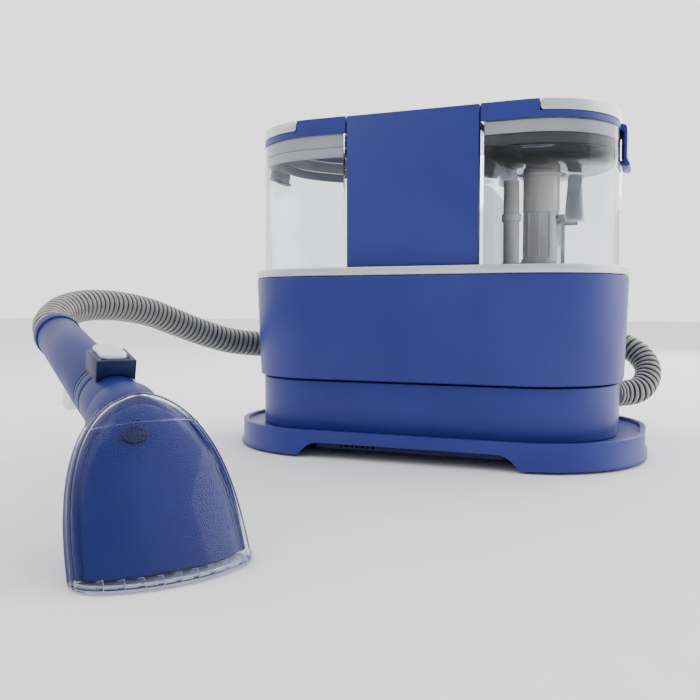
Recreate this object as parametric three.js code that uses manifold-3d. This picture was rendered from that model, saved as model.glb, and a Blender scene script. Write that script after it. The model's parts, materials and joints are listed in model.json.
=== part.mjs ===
// Portable carpet and upholstery washer: a base machine with two lift-off water tanks either side of a
// tower, and a hand tool on a corrugated hose. Millimetres, +Z up. +X runs along the machine to its
// dirty-water end, -Y is the front. Each piece is a closed solid in its own mesh.
import * as THREE from 'three';
import { mergeVertices } from 'three/addons/utils/BufferGeometryUtils.js';
import Module from 'manifold-3d';

const wasm = await Module();
wasm.setup();

// ---------------------------------------------------------------- driving dimensions
const gap = 0.4; // between pieces that touch
const cornerSteps = 7; // facets in each rounded corner of an outline

const casing = { length: 360, depth: 214, corner: 84, wall: 3, height: 95, taper: 3 };
const ledge = { end: 17, front: 12 }; // how far the tray stands out past the casing
const tray = {
  length: casing.length + 2 * ledge.end,
  depth: casing.depth + 2 * ledge.front,
  corner: casing.corner + ledge.end,
  height: 23,
  wall: 4,
  rim: 5,
  recess: 3,
  flare: 2,
};
const arch = { halfWidth: 88, slope: 14, height: 12 };
const foot = { radius: 9, height: 2, fromEnd: 39, fromFront: 57 };
const lower = { step: 4, height: 46, wall: 3 };
const seam = 1.6;
const trim = { height: 7.5 };
const setback = { end: 8.6, front: 9 }; // how far the tanks stand in from the casing
const tank = {
  length: casing.length - 2 * setback.end,
  depth: casing.depth - 2 * setback.front,
  corner: casing.corner - setback.front - 0.3,
  wall: 2.5,
  floor: 3,
  height: 125,
};
const lid = { height: 15, hollow: 3 };
const skirt = { height: 11.5, thickness: 3 };
const seal = { height: 9, thickness: 3.4 };
const bail = { height: 9, width: 8, endX: 111.3, endRadius: 3, pivotRadius: 4.5, swing: 6 };
const latch = { width: 42, drop: 36, thickness: 3, stand: 2.6 };
const tower = { width: 120.6, wall: 2.5, front: 2.6 };
const grip = { length: 96, width: 84, depth: 36, bar: 12, y: 8 };
const button = { radius: 9, height: 6, travel: 2.5, y: -66, proud: 1.5 };
const deck = { thickness: 3 };
const riser = { radius: 16, wall: 1.8, height: 94, joint: 49, sleeve: 1.2, x: 99, y: 10 };
const cone = { x: 129, y: 20, top: 6.4, bottom: 10, height: 42, wall: 1.2 };
const guide = { x: 74, y: -10, radius: 7.4, wall: 1.2, height: 78 };
const valve = { x: -118, y: 0, radius: 8, stem: 3 };
const fan = { radius: 50, x: -12, y: 4, height: 24, floor: 74 };
const motor = { radius: 36, height: 50, shaft: 4 };
const hose = { diameter: 27.5, bore: 20 };
const port = { angle: 50, z: 45, stand: 14 };
const hook = { x: 74, near: 149.5, far: 179.5, z: 96, width: 14, thickness: 4, brace: 18, lip: 22 };
const tool = { x: -32, y: -427, turn: 53.9 };
const nozzle = { width: 95, height: 99, bulge: 21.5, lean: 27, cover: 2.4, channel: 7, back: 9 };
const handle = { y: 33, z: 63, rise: 14.45, neck: 75, length: 216, neckRadius: 19, topRadius: 15.7, wall: 3 };
const collar = { length: 12, proud: 0.9 };
const trigger = { root: 7, tip: 41, start: 146, end: 172, halfWidth: 4.5 }; // across and along the handle

// ---------------------------------------------------------------- levels worked out from the heights
const trayTop = foot.height + tray.height;
const trayFloor = trayTop - tray.recess;
const lowerTop = trayFloor + gap + lower.height;
const upperBottom = lowerTop + seam;
const upperTop = upperBottom + casing.height;
const deckTop = upperTop + gap + deck.thickness;
const trimTop = upperTop + gap + trim.height;
const tankBottom = deckTop + gap;
const tankTop = tankBottom + tank.height;
const lidBottom = tankTop + gap;
const top = lidBottom + lid.height;
const towerHalf = tower.width / 2;
const tankInner = towerHalf + 1.4;
const lowerInset = casing.taper + lower.step;

// ---------------------------------------------------------------- helpers
const unitX = new THREE.Vector3(1, 0, 0);
const unitY = new THREE.Vector3(0, 1, 0);
const unitZ = new THREE.Vector3(0, 0, 1);
const yzPlane = new THREE.Matrix4().makeBasis(unitY, unitZ, unitX); // draws x, y as y, z

function finish(color, roughness, metalness = 0, opacity = 1) {
  return new THREE.MeshStandardMaterial({ color, roughness, metalness, opacity, transparent: opacity < 1 });
}

const blue = finish('#2b3f8f', 0.42);
const navy = finish('#141b45', 0.55);
const silver = finish('#d9dadd', 0.3, 0.6);
const clear = finish('#eef2f6', 0.08, 0, 0.3);
const smoke = finish('#8c9098', 0.15, 0, 0.5);
const frosted = finish('#c9ccd2', 0.5);
const sealGrey = finish('#5d6067', 0.8);
const rubber = finish('#1a1b1e', 0.9);
const black = finish('#202226', 0.6);
const hoseGrey = finish('#a8a8a6', 0.6);
const white = finish('#e6e6e4', 0.4);
const metal = finish('#9fa3a8', 0.35, 0.9);
const copper = finish('#b06a3a', 0.4, 0.8);
const board = finish('#1f6a3c', 0.5);

function pushArc(points, cx, cy, radius, from, to, steps) {
  for (let i = 0; i <= steps; i++) {
    const a = THREE.MathUtils.degToRad(from + ((to - from) * i) / steps);
    points.push(new THREE.Vector2(cx + radius * Math.cos(a), cy + radius * Math.sin(a)));
  }
}

// A rounded rectangle about the origin, drawn anticlockwise, moved inwards by inset.
function roundedOutline({ length, depth, corner }, inset = 0) {
  const cx = length / 2 - corner;
  const cy = depth / 2 - corner;
  const r = corner - inset;
  const points = [];
  pushArc(points, cx, cy, r, 0, 90, cornerSteps);
  pushArc(points, -cx, cy, r, 90, 180, cornerSteps);
  pushArc(points, -cx, -cy, r, 180, 270, cornerSteps);
  pushArc(points, cx, -cy, r, 270, 360, cornerSteps);
  return points;
}

// The end of that rounded rectangle beyond x = from: the plan of one tank.
function endOutline({ length, depth, corner }, from, inset = 0) {
  const cx = length / 2 - corner;
  const cy = depth / 2 - corner;
  const r = corner - inset;
  const points = [new THREE.Vector2(from + inset, -(depth / 2 - inset))];
  pushArc(points, cx, -cy, r, 270, 360, cornerSteps);
  pushArc(points, cx, cy, r, 0, 90, cornerSteps);
  points.push(new THREE.Vector2(from + inset, depth / 2 - inset));
  return points;
}

function indexed(positions, triangles) {
  const geometry = new THREE.BufferGeometry();
  geometry.setAttribute('position', new THREE.Float32BufferAttribute(positions, 3));
  geometry.setIndex(triangles);
  return geometry;
}

// Joins rings of Vector3 points, each the same way round. The first and last are capped flat, or joined.
function loft(rings, joinEnds = false) {
  const count = rings[0].length;
  const positions = rings.flat().flatMap((p) => [p.x, p.y, p.z]);
  const triangles = [];
  const last = joinEnds ? rings.length : rings.length - 1;
  for (let r = 0; r < last; r++) {
    const next = (r + 1) % rings.length;
    for (let i = 0; i < count; i++) {
      const j = (i + 1) % count;
      const a = r * count + i;
      const b = r * count + j;
      const c = next * count + j;
      const d = next * count + i;
      triangles.push(a, b, c, a, c, d);
    }
  }
  if (!joinEnds) {
    for (const [ring, flip] of [[0, true], [rings.length - 1, false]]) {
      const flat = rings[ring];
      const normal = new THREE.Vector3();
      for (let i = 0; i < count; i++) {
        const p = flat[i];
        const q = flat[(i + 1) % count];
        normal.add(new THREE.Vector3().crossVectors(p, q));
      }
      const u = new THREE.Vector3().subVectors(flat[1], flat[0]).normalize();
      const v = new THREE.Vector3().crossVectors(normal.normalize(), u);
      const contour = flat.map((p) => new THREE.Vector2(p.dot(u), p.dot(v)));
      for (const [a, b, c] of THREE.ShapeUtils.triangulateShape(contour, [])) {
        const o = ring * count;
        triangles.push(...(flip ? [o + a, o + c, o + b] : [o + a, o + b, o + c]));
      }
    }
  }
  return indexed(positions, triangles);
}

// A solid block whose plan is outline(inset) at each [inset, z] of the profile, bottom to top.
function stack(outline, profile) {
  return loft(profile.map(([inset, z]) => outline(inset).map((p) => new THREE.Vector3(p.x, p.y, z))));
}

// A ring-shaped solid: the closed [inset, z] profile swept round the outline.
function band(outline, profile) {
  const rings = profile.map(([inset, z]) => outline(inset).map((p) => new THREE.Vector3(p.x, p.y, z)));
  return loft(rings, true);
}

function box(x0, x1, y0, y1, z0, z1) {
  const geometry = new THREE.BoxGeometry(x1 - x0, y1 - y0, z1 - z0);
  return geometry.translate((x0 + x1) / 2, (y0 + y1) / 2, (z0 + z1) / 2);
}

// An upright cylinder, or a cone when the second radius differs.
function column(x, y, z0, z1, bottomRadius, topRadius = bottomRadius, sides = 20) {
  const geometry = new THREE.CylinderGeometry(topRadius, bottomRadius, z1 - z0, sides);
  return geometry.rotateX(Math.PI / 2).translate(x, y, (z0 + z1) / 2);
}

// A turned solid from a closed [radius, z] profile.
function turned(profile, sides = 24) {
  const points = [...profile, profile[0]].map(([r, z]) => new THREE.Vector2(r, z));
  return new THREE.LatheGeometry(points, sides).rotateX(Math.PI / 2);
}

function bareTube(points, outerRadius, innerRadius, steps, sides = 12) {
  const path = points.map((p) => new THREE.Vector3(...p));
  const extrudePath = new THREE.CatmullRomCurve3(path, false, 'centripetal');
  const section = new THREE.Shape();
  section.absarc(0, 0, outerRadius, 0, 2 * Math.PI, false);
  if (innerRadius) {
    section.holes.push(new THREE.Path().absarc(0, 0, innerRadius, 0, 2 * Math.PI, true));
  }
  const options = { steps, extrudePath, curveSegments: sides, bevelEnabled: false };
  return new THREE.ExtrudeGeometry(section, options);
}

// Extrudes a plan shape from z0 to z1.
function slab(shape, z0, z1, curveSegments = 6) {
  const extruded = new THREE.ExtrudeGeometry(shape, { depth: z1 - z0, bevelEnabled: false, curveSegments });
  return extruded.translate(0, 0, z0);
}

function roundedRect(x0, x1, y0, y1, r) {
  const shape = new THREE.Shape();
  shape.moveTo(x0 + r, y0);
  shape.lineTo(x1 - r, y0);
  shape.absarc(x1 - r, y0 + r, r, -Math.PI / 2, 0, false);
  shape.absarc(x1 - r, y1 - r, r, 0, Math.PI / 2, false);
  shape.absarc(x0 + r, y1 - r, r, Math.PI / 2, Math.PI, false);
  shape.absarc(x0 + r, y0 + r, r, Math.PI, 1.5 * Math.PI, false);
  return shape;
}

function solid(geometry) {
  const bare = geometry.clone();
  for (const name of Object.keys(bare.attributes)) {
    if (name !== 'position') bare.deleteAttribute(name);
  }
  const merged = mergeVertices(bare, 1e-4);
  const triVerts = [];
  const index = merged.index.array;
  for (let i = 0; i < index.length; i += 3) {
    const [a, b, c] = [index[i], index[i + 1], index[i + 2]];
    if (a !== b && b !== c && c !== a) triVerts.push(a, b, c);
  }
  const mesh = new wasm.Mesh({
    numProp: 3,
    vertProperties: new Float32Array(merged.attributes.position.array),
    triVerts: new Uint32Array(triVerts),
  });
  return new wasm.Manifold(mesh);
}

function geometryOf(manifold) {
  const mesh = manifold.getMesh();
  return indexed(Array.from(mesh.vertProperties), Array.from(mesh.triVerts));
}

// start, then a list of ['add' | 'subtract' | 'intersect', geometry].
function build(start, ...steps) {
  let result = solid(start);
  for (const [operation, geometry] of steps) {
    result = result[operation](solid(geometry));
  }
  return geometryOf(result);
}

function mirrored(geometry) {
  const flipped = geometry.clone().applyMatrix4(new THREE.Matrix4().makeScale(-1, 1, 1));
  const index = Array.from(flipped.index.array);
  for (let i = 0; i < index.length; i += 3) {
    [index[i + 1], index[i + 2]] = [index[i + 2], index[i + 1]];
  }
  flipped.setIndex(index);
  return flipped;
}

const assembly = new THREE.Group();

function piece(name, geometry, material, parent = assembly) {
  const bare = geometry.clone();
  for (const attribute of Object.keys(bare.attributes)) {
    if (attribute !== 'position') bare.deleteAttribute(attribute);
  }
  const mesh = new THREE.Mesh(mergeVertices(bare, 1e-4), material);
  mesh.name = name;
  parent.add(mesh);
  return mesh;
}

// ---------------------------------------------------------------- base: tray, feet and vent
const trayOutline = (inset) => roundedOutline(tray, inset);
const trayShell = stack(trayOutline, [
  [-tray.flare, foot.height],
  [-tray.flare, foot.height + 2],
  [0, foot.height + 6],
  [0, trayTop - 1],
  [1, trayTop],
]);
const trayRecess = stack(trayOutline, [[tray.rim, trayFloor], [tray.rim - 1, trayTop + 1]]);
const trayHollow = stack(trayOutline, [[tray.wall, foot.height - 1], [tray.wall, trayFloor - tray.wall]]);

// The cut that leaves the machine standing on its two ends.
function archCut() {
  const shape = new THREE.Shape();
  const run = arch.halfWidth + arch.slope;
  shape.moveTo(-run, 0);
  shape.lineTo(run, 0);
  shape.lineTo(run, foot.height);
  shape.quadraticCurveTo(arch.halfWidth, foot.height, arch.halfWidth, foot.height + arch.height);
  shape.lineTo(-arch.halfWidth, foot.height + arch.height);
  shape.quadraticCurveTo(-arch.halfWidth, foot.height, -run, foot.height);
  const reach = tray.depth / 2 + 10;
  return slab(shape, -reach, reach, 5).rotateX(Math.PI / 2);
}
const footX = tray.length / 2 - foot.fromEnd;
const footY = tray.depth / 2 - foot.fromFront;
const feet = [[-1, -1], [1, -1], [1, 1], [-1, 1]].map(([sx, sy]) => [sx * footX, sy * footY]);
const bosses = feet.map(([x, y]) => ['add', column(x, y, foot.height, trayFloor - 1, foot.radius + 3)]);
piece(
  'base_tray',
  build(trayShell, ['subtract', trayRecess], ['subtract', trayHollow], ...bosses, ['subtract', archCut()]),
  blue,
);
feet.forEach(([x, y], i) => {
  piece(`rubber_foot_${i + 1}`, column(x, y, 0, foot.height - gap, foot.radius), rubber);
});

// A dark bar closes the front arch; its slits let cooling air in.
const ventFront = -tray.depth / 2 + tray.wall + 6;
const ventBottom = foot.height + 6;
const ventTop = trayFloor - tray.wall - gap;
const slit = { count: 7, start: -62, pitch: 5, width: 2.4 };
const ventSlits = [];
for (let i = 0; i < slit.count; i++) {
  const x = slit.start + i * slit.pitch;
  const opening = box(x, x + slit.width, ventFront - 5, ventFront + 5, ventBottom + 2, trayFloor);
  ventSlits.push(['subtract', opening]);
}
piece(
  'base_vent',
  build(
    box(-arch.halfWidth + 2, arch.halfWidth - 2, ventFront, ventFront + 3, ventBottom, ventTop),
    ...ventSlits,
  ),
  navy,
);

// ---------------------------------------------------------------- casing
const casingOutline = (inset) => roundedOutline(casing, inset);
const portAngle = THREE.MathUtils.degToRad(port.angle);
const portDirection = new THREE.Vector3(Math.cos(portAngle), Math.sin(portAngle), 0);
const cornerX = casing.length / 2 - casing.corner;
const cornerY = casing.depth / 2 - casing.corner;
const portRoot = new THREE.Vector3(cornerX, cornerY, port.z);
const lowerRadius = casing.corner - lowerInset;

// Lays a turned piece, drawn up the z axis from the corner centre, along the hose port.
function alongPort(geometry) {
  const turn = new THREE.Quaternion().setFromUnitVectors(unitZ, portDirection);
  return geometry.applyQuaternion(turn).translate(portRoot.x, portRoot.y, portRoot.z);
}
const portOuter = hose.diameter / 2 + 1.5;
const lowerBottom = trayFloor + gap;
const portOpening = column(0, 0, lowerRadius - 12, lowerRadius + 12, portOuter + gap, portOuter + gap, 24);
piece(
  'lower_casing',
  build(
    stack(casingOutline, [[lowerInset, lowerBottom], [lowerInset, lowerTop]]),
    [
      'subtract',
      stack(casingOutline, [
        [lowerInset + lower.wall, lowerBottom + lower.wall],
        [lowerInset + lower.wall, lowerTop + 1],
      ]),
    ],
    ['subtract', alongPort(portOpening)],
  ),
  blue,
);

const rearY = casing.depth / 2;
const grille = { halfWidth: 42, bottom: upperBottom + 28, height: 34 };
const gland = { x: -96, z: upperBottom + 16, radius: 7, bore: 3.6 };
function rearHole(x, z, radius) {
  return new THREE.CylinderGeometry(radius, radius, 30, 20).translate(x, rearY, z);
}
const shelf = 16; // width of the ledge that carries the deck
const bottomLedge = lowerInset + lower.wall + 4;
const upperShell = band(casingOutline, [
  [casing.taper, upperBottom],
  [0, upperTop - 1],
  [0.6, upperTop],
  [shelf, upperTop],
  [shelf, upperTop - casing.wall],
  [casing.wall, upperTop - casing.wall],
  [casing.taper + casing.wall, upperBottom + casing.wall],
  [bottomLedge, upperBottom + casing.wall],
  [bottomLedge, upperBottom],
]);
const grilleTop = grille.bottom + grille.height;
piece(
  'upper_casing',
  build(
    upperShell,
    ['subtract', box(-grille.halfWidth, grille.halfWidth, rearY - 12, rearY + 5, grille.bottom, grilleTop)],
    ['subtract', rearHole(gland.x, gland.z, gland.radius + gap)],
  ),
  blue,
);
piece(
  'trim_band',
  band(casingOutline, [
    [0, upperTop + gap],
    [0, trimTop - 1.5],
    [1.2, trimTop],
    [8, trimTop],
    [8, upperTop + gap],
  ]),
  silver,
);

const tankInset = (casing.length - tank.length) / 2;
const ductHole = { x: riser.x, y: riser.y, radius: 11 };
piece(
  'tank_deck',
  build(
    stack(casingOutline, [[tankInset, upperTop + gap], [tankInset, deckTop]]),
    ['subtract', column(valve.x, valve.y, upperTop - 5, deckTop + 5, valve.radius + 2)],
    ['subtract', column(ductHole.x, ductHole.y, upperTop - 5, deckTop + 5, ductHole.radius + 1.2)],
    ['subtract', box(-towerHalf + 16, towerHalf - 16, -50, 50, upperTop - 5, deckTop + 5)],
  ),
  navy,
);

// Slatted grille over the warm-air outlet.
const slats = [];
for (let z = grille.bottom + 5; z < grilleTop - 4; z += 6) {
  slats.push(['subtract', box(-grille.halfWidth + 6, grille.halfWidth - 6, rearY - 12, rearY + 5, z, z + 3)]);
}
piece(
  'exhaust_grille',
  build(
    box(
      -grille.halfWidth + gap,
      grille.halfWidth - gap,
      rearY - 5,
      rearY - 2,
      grille.bottom + gap,
      grilleTop - gap,
    ),
    ...slats,
  ),
  black,
);
const glandProfile = [
  [gland.bore, -4],
  [gland.radius + 3, -4],
  [gland.radius + 3, -1],
  [gland.radius, -1],
  [gland.radius, 14],
  [gland.bore, 14],
];
piece(
  'cord_gland',
  turned(glandProfile, 20).rotateX(Math.PI / 2).translate(gland.x, rearY - 2, gland.z),
  rubber,
);

// ---------------------------------------------------------------- tower
const tankFront = -tank.depth / 2;
const tankRear = tank.depth / 2;
const towerBackOfFront = tankFront + tower.front + gap;
const pocket = {
  x: grip.length / 2,
  y0: grip.y - grip.width / 2,
  y1: grip.y + grip.width / 2,
  z: top - grip.depth,
};
const wall = tower.wall;
const hollowHalf = towerHalf - wall;
piece(
  'tower_body',
  build(
    box(-towerHalf, towerHalf, towerBackOfFront, tankRear, deckTop + gap, top),
    ['subtract', box(-hollowHalf, hollowHalf, towerBackOfFront + wall, tankRear - wall, deckTop, top - wall)],
    [
      'add',
      box(-pocket.x - wall, pocket.x + wall, pocket.y0 - wall, pocket.y1 + wall, pocket.z - wall, top - 1),
    ],
    ['subtract', box(-pocket.x, pocket.x, pocket.y0, pocket.y1, pocket.z, top + 1)],
    ['subtract', column(0, button.y, top - wall - 3, top + 3, button.radius + gap, button.radius + gap, 24)],
  ),
  blue,
);
const frontPlate = slab(roundedRect(-towerHalf, towerHalf, trimTop + gap, top, 1.2), 0, tower.front, 3);
piece('tower_front_panel', frontPlate.rotateX(Math.PI / 2).translate(0, tankFront + tower.front, 0), blue);

// Grip bar across the pocket, flush with the top.
const barShape = roundedRect(grip.y - grip.bar, grip.y + grip.bar, top - 20, top - 0.5, 8);
const bar = slab(barShape, -pocket.x + gap, pocket.x - gap, 6);
piece('carry_handle', bar.applyMatrix4(yzPlane), navy);
const buttonTop = top + button.proud;
const buttonBottom = buttonTop - button.height;
piece(
  'power_button',
  column(0, button.y, buttonBottom, buttonTop, button.radius, button.radius - 0.4, 24),
  silver,
);
const switchTop = buttonBottom - button.travel - gap;
piece('power_switch', box(-10, 10, button.y - 7, button.y + 7, switchTop - 16, switchTop), black);

// ---------------------------------------------------------------- tanks
const endOf = (inset) => endOutline(tank, tankInner, inset);
function tankShell(...cuts) {
  return build(
    stack(endOf, [[3, tankBottom], [0, tankBottom + 4], [0, tankTop]]),
    [
      'subtract',
      stack(endOf, [
        [tank.wall + 2, tankBottom + tank.floor],
        [tank.wall, tankBottom + 7],
        [tank.wall, tankTop + 1],
      ]),
    ],
    // a catch rib for the latch
    ['add', box(tank.length / 2 - 1, tank.length / 2 + 1.6, -14, 14, latchTip + 4, latchTip + 6)],
    ...cuts,
  );
}
const latchTop = lidBottom + 4;
const latchTip = latchTop - latch.drop;
const plugTop = tankTop + gap;
const plugInset = tank.wall + gap;
const lidHollow = plugInset + skirt.thickness;

// Room beside the bail's pivot, so that its curved arm can swing up without touching the lid.
function bailPocket(side) {
  const outerY = tank.depth / 2 + 1;
  const innerY = tank.depth / 2 - bail.width - bail.swing;
  const [y0, y1] = side < 0 ? [-outerY, -innerY] : [innerY, outerY];
  return box(bail.endX - 0.8, bail.endX + 2 * bail.pivotRadius + 1, y0, y1, top - bail.height - 0.8, top + 1);
}

// Cap that overlaps the tank's rim line; its outer edge is cut back to take the bail.
function lidCap() {
  const bailBottom = top - bail.height;
  const end = tank.length / 2;
  const latchHalf = latch.width / 2 + 1;
  const rabbet = build(
    stack(endOf, [[-3, bailBottom - 0.8], [-3, top + 2]]),
    ['subtract', stack(endOf, [[bail.width + 0.8, bailBottom - 2], [bail.width + 0.8, top + 3]])],
    ['intersect', box(bail.endX - 0.8, tank.length, -tank.depth, tank.depth, bailBottom - 2, top + 3)],
  );
  return build(
    stack(endOf, [[0, lidBottom], [0, top - 1], [1, top]]),
    ['subtract', stack(endOf, [[lidHollow, lidBottom - 1], [lidHollow, lidBottom + lid.hollow]])],
    ['subtract', rabbet],
    ...[-1, 1].map((side) => ['subtract', bailPocket(side)]),
    ['subtract', box(end - 5, end + 5, -latchHalf, latchHalf, lidBottom - 1, latchTop + 2.6)],
  );
}

// Silver carrying bail, drawn flat round the end of the lid.
function bailBand() {
  const z0 = top - bail.height;
  const side = new THREE.Shape();
  const r = bail.endRadius;
  side.moveTo(tank.length / 2 + 5, z0);
  side.lineTo(tank.length / 2 + 5, top);
  side.lineTo(bail.endX + r, top);
  side.absarc(bail.endX + r, top - r, r, Math.PI / 2, Math.PI, false);
  side.absarc(bail.endX + r, z0 + r, r, Math.PI, 1.5 * Math.PI, false);
  const reach = tank.depth / 2 + 10;
  return build(
    stack(endOf, [[0, z0], [0, top - 1.2], [1.2, top]]),
    ['subtract', stack(endOf, [[bail.width, z0 - 1], [bail.width, top + 1]])],
    ['intersect', slab(side, -reach, reach, 4).rotateX(Math.PI / 2)],
  );
}

// Sprung hook on the lid's end that snaps under the tank's catch rib.
function latchPlate() {
  const face = tank.length / 2 + latch.stand;
  const shape = new THREE.Shape();
  shape.moveTo(face - 5, latchTop + 1.6);
  shape.lineTo(face - 5, latchTop - 2.6);
  shape.lineTo(face, latchTop - 6);
  shape.lineTo(face, latchTip + 3);
  shape.lineTo(face - latch.stand + 0.6, latchTip + 3);
  shape.lineTo(face - latch.stand + 0.6, latchTip + 1);
  shape.lineTo(face + 3, latchTip);
  shape.lineTo(face + latch.thickness + 3, latchTip + 1);
  shape.lineTo(face + latch.thickness, latchTip + 8);
  shape.lineTo(face + latch.thickness, latchTop - 4);
  shape.quadraticCurveTo(face + latch.thickness, latchTop + 1.6, face - 2, latchTop + 1.6);
  return slab(shape, -latch.width / 2, latch.width / 2, 5).rotateX(Math.PI / 2);
}

const lidSkirt = () =>
  band(endOf, [
    [plugInset, plugTop - skirt.height],
    [plugInset, plugTop - 0.8],
    [plugInset + skirt.thickness - gap, plugTop - 0.8],
    [plugInset + skirt.thickness - gap, plugTop - skirt.height],
  ]);
const sealTop = plugTop - skirt.height - gap;
const lidSeal = () =>
  band(endOf, [
    [plugInset + 0.4, sealTop - seal.height],
    [plugInset, sealTop - seal.height / 2],
    [plugInset + 0.4, sealTop],
    [plugInset + seal.thickness, sealTop],
    [plugInset + seal.thickness, sealTop - seal.height],
  ]);

function floorHole(x, y, radius) {
  return ['subtract', column(x, y, tankBottom - 5, tankBottom + 8, radius)];
}
const dirtyFloorHole = floorHole(ductHole.x, ductHole.y, ductHole.radius + 0.6);
const cleanFloorHole = floorHole(-valve.x, valve.y, valve.stem + 2);
piece('dirty_tank', tankShell(dirtyFloorHole), clear);
piece('dirty_lid', lidCap(), blue);
piece('dirty_lid_skirt', lidSkirt(), frosted);
piece('dirty_lid_seal', lidSeal(), sealGrey);
piece('dirty_bail', bailBand(), silver);
piece('dirty_latch', latchPlate(), blue);
piece('clean_tank', mirrored(tankShell(cleanFloorHole)), clear);
piece('clean_lid', mirrored(lidCap()), blue);
piece('clean_lid_skirt', mirrored(lidSkirt()), frosted);
piece('clean_lid_seal', mirrored(lidSeal()), sealGrey);
piece('clean_bail', mirrored(bailBand()), silver);
piece('clean_latch', mirrored(mergeVertices(latchPlate())), blue);

// Splash dish under the dirty lid: a shallow bowl with a hole for the riser's air.
const dishTop = sealTop - seal.height - gap;
const dishInset = plugInset + 1;
const dishDepth = 14;
const dishBottom = dishTop - dishDepth;
piece(
  'splash_dish',
  build(
    stack(endOf, [[dishInset + 14, dishBottom], [dishInset + 3, dishTop - 9], [dishInset, dishTop]]),
    [
      'subtract',
      stack(endOf, [
        [dishInset + 16, dishBottom + 2],
        [dishInset + 5, dishTop - 7],
        [dishInset + 2, dishTop + 1],
      ]),
    ],
    ['subtract', column(riser.x, riser.y, dishTop - 20, dishTop + 5, riser.radius + 6)],
  ),
  smoke,
);

// ---------------------------------------------------------------- inside the dirty tank
const tankFloor = tankBottom + tank.floor + gap;
const footPlate = 3;
const footOval = { halfLength: 33, halfDepth: 46 };
const riserBottom = tankFloor + footPlate + gap;
const oval = new THREE.Shape();
oval.absellipse(riser.x, 0, footOval.halfLength, footOval.halfDepth, 0, 2 * Math.PI, false, 0);
piece(
  'riser_foot',
  build(slab(oval, tankFloor, tankFloor + footPlate, 16), [
    'subtract',
    column(ductHole.x, ductHole.y, tankFloor - 5, tankFloor + 9, ductHole.radius + 0.6),
  ]),
  frosted,
);
const riserProfile = [
  [riser.radius - riser.wall - 2, 0],
  [riser.radius + 3, 0],
  [riser.radius + 3, 5],
  [riser.radius, 8],
  [riser.radius, riser.joint],
  [riser.radius + riser.sleeve, riser.joint],
  [riser.radius + riser.sleeve, riser.height],
  [riser.radius - riser.wall, riser.height],
];
piece('riser_tube', turned(riserProfile).translate(riser.x, riser.y, riserBottom), frosted);
const coneProfile = [
  [cone.bottom - cone.wall, 0],
  [cone.bottom, 0],
  [cone.top, cone.height],
  [cone.top - cone.wall, cone.height],
];
const coneBottom = dishBottom - gap - cone.height;
piece('separator_cone', turned(coneProfile, 20).translate(cone.x, cone.y, coneBottom), clear);
const guideProfile = [
  [guide.radius - guide.wall, 0],
  [guide.radius, 0],
  [guide.radius, guide.height],
  [guide.radius - guide.wall, guide.height],
];
piece('float_guide', turned(guideProfile, 20).translate(guide.x, guide.y, riserBottom), smoke);
const floatRadius = guide.radius - guide.wall - 1;
const floatBottom = riserBottom + 1;
piece('float', column(guide.x, guide.y, floatBottom, floatBottom + 22, floatRadius, floatRadius - 1, 16), white);

// ---------------------------------------------------------------- clean-water outlet valve
const valveFloor = tankBottom + tank.floor;
piece(
  'outlet_valve',
  turned([
    [0, -9],
    [valve.stem, -9],
    [valve.stem, 0.3],
    [valve.radius, 0.3],
    [valve.radius, 3],
    [valve.stem, 4.5],
    [0, 4.5],
  ], 16).translate(valve.x, valve.y, valveFloor),
  white,
);

// ---------------------------------------------------------------- inside the casing: suction and pump
const fanTop = fan.floor + fan.height;
const motorTop = fanTop + gap + motor.height;
piece(
  'fan_housing',
  build(
    column(fan.x, fan.y, fan.floor, fanTop, fan.radius + 4, fan.radius + 4, 32),
    ['subtract', column(fan.x, fan.y, fan.floor + 3, fanTop - 3, fan.radius + 1, fan.radius + 1, 32)],
    ['subtract', column(fan.x, fan.y, fanTop - 5, fanTop + 5, motor.shaft + 8)],
    ['subtract', column(fan.x, fan.y, fan.floor - 5, fan.floor + 5, 14)],
  ),
  black,
);
const blades = [];
for (let i = 0; i < 8; i++) {
  const blade = box(12, fan.radius - 4, -0.8, 0.8, fan.floor + 6, fanTop - 6);
  blades.push(['add', blade.rotateZ((i * Math.PI) / 4).translate(fan.x, fan.y, 0)]);
}
piece(
  'impeller',
  build(
    column(fan.x, fan.y, fan.floor + 5, fan.floor + 7, fan.radius - 3, fan.radius - 3, 28),
    ['add', column(fan.x, fan.y, fan.floor + 5, fanTop - 5, 14, 10)],
    ...blades,
    ['subtract', column(fan.x, fan.y, fan.floor, fanTop, motor.shaft + gap, motor.shaft + gap, 16)],
  ),
  metal,
);
const rotorProfile = [
  [0, fan.floor + 5],
  [motor.shaft, fan.floor + 5],
  [motor.shaft, fanTop + 9],
  [20, fanTop + 9],
  [20, motorTop - 12],
  [motor.shaft, motorTop - 12],
  [motor.shaft, motorTop - 5],
  [0, motorTop - 5],
];
const rotorPoints = rotorProfile.map(([r, z]) => new THREE.Vector2(r, z));
const rotor = new THREE.LatheGeometry(rotorPoints, 20).rotateX(Math.PI / 2);
piece('motor_rotor', rotor.translate(fan.x, fan.y, 0), copper);
piece(
  'motor_housing',
  build(
    column(fan.x, fan.y, fanTop + gap, motorTop, motor.radius, motor.radius - 3, 24),
    ['subtract', column(fan.x, fan.y, fanTop + 6, motorTop - 3, motor.radius - 6, motor.radius - 9, 24)],
    ['subtract', column(fan.x, fan.y, fanTop - 5, fanTop + 9, motor.shaft + 8)],
  ),
  metal,
);
const pumpTop = 66;
const pump = { x0: -150, x1: -92, y0: -34, y1: 22, corner: 8 };
const pumpPlan = roundedRect(pump.x0, pump.x1, pump.y0, pump.y1, pump.corner);
piece('solution_pump', slab(pumpPlan, lowerBottom + lower.wall + gap, pumpTop, 4), black);
const boardSize = { halfWidth: 78, y: -88, thickness: 2, bottom: 84, top: 146 };
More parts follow.
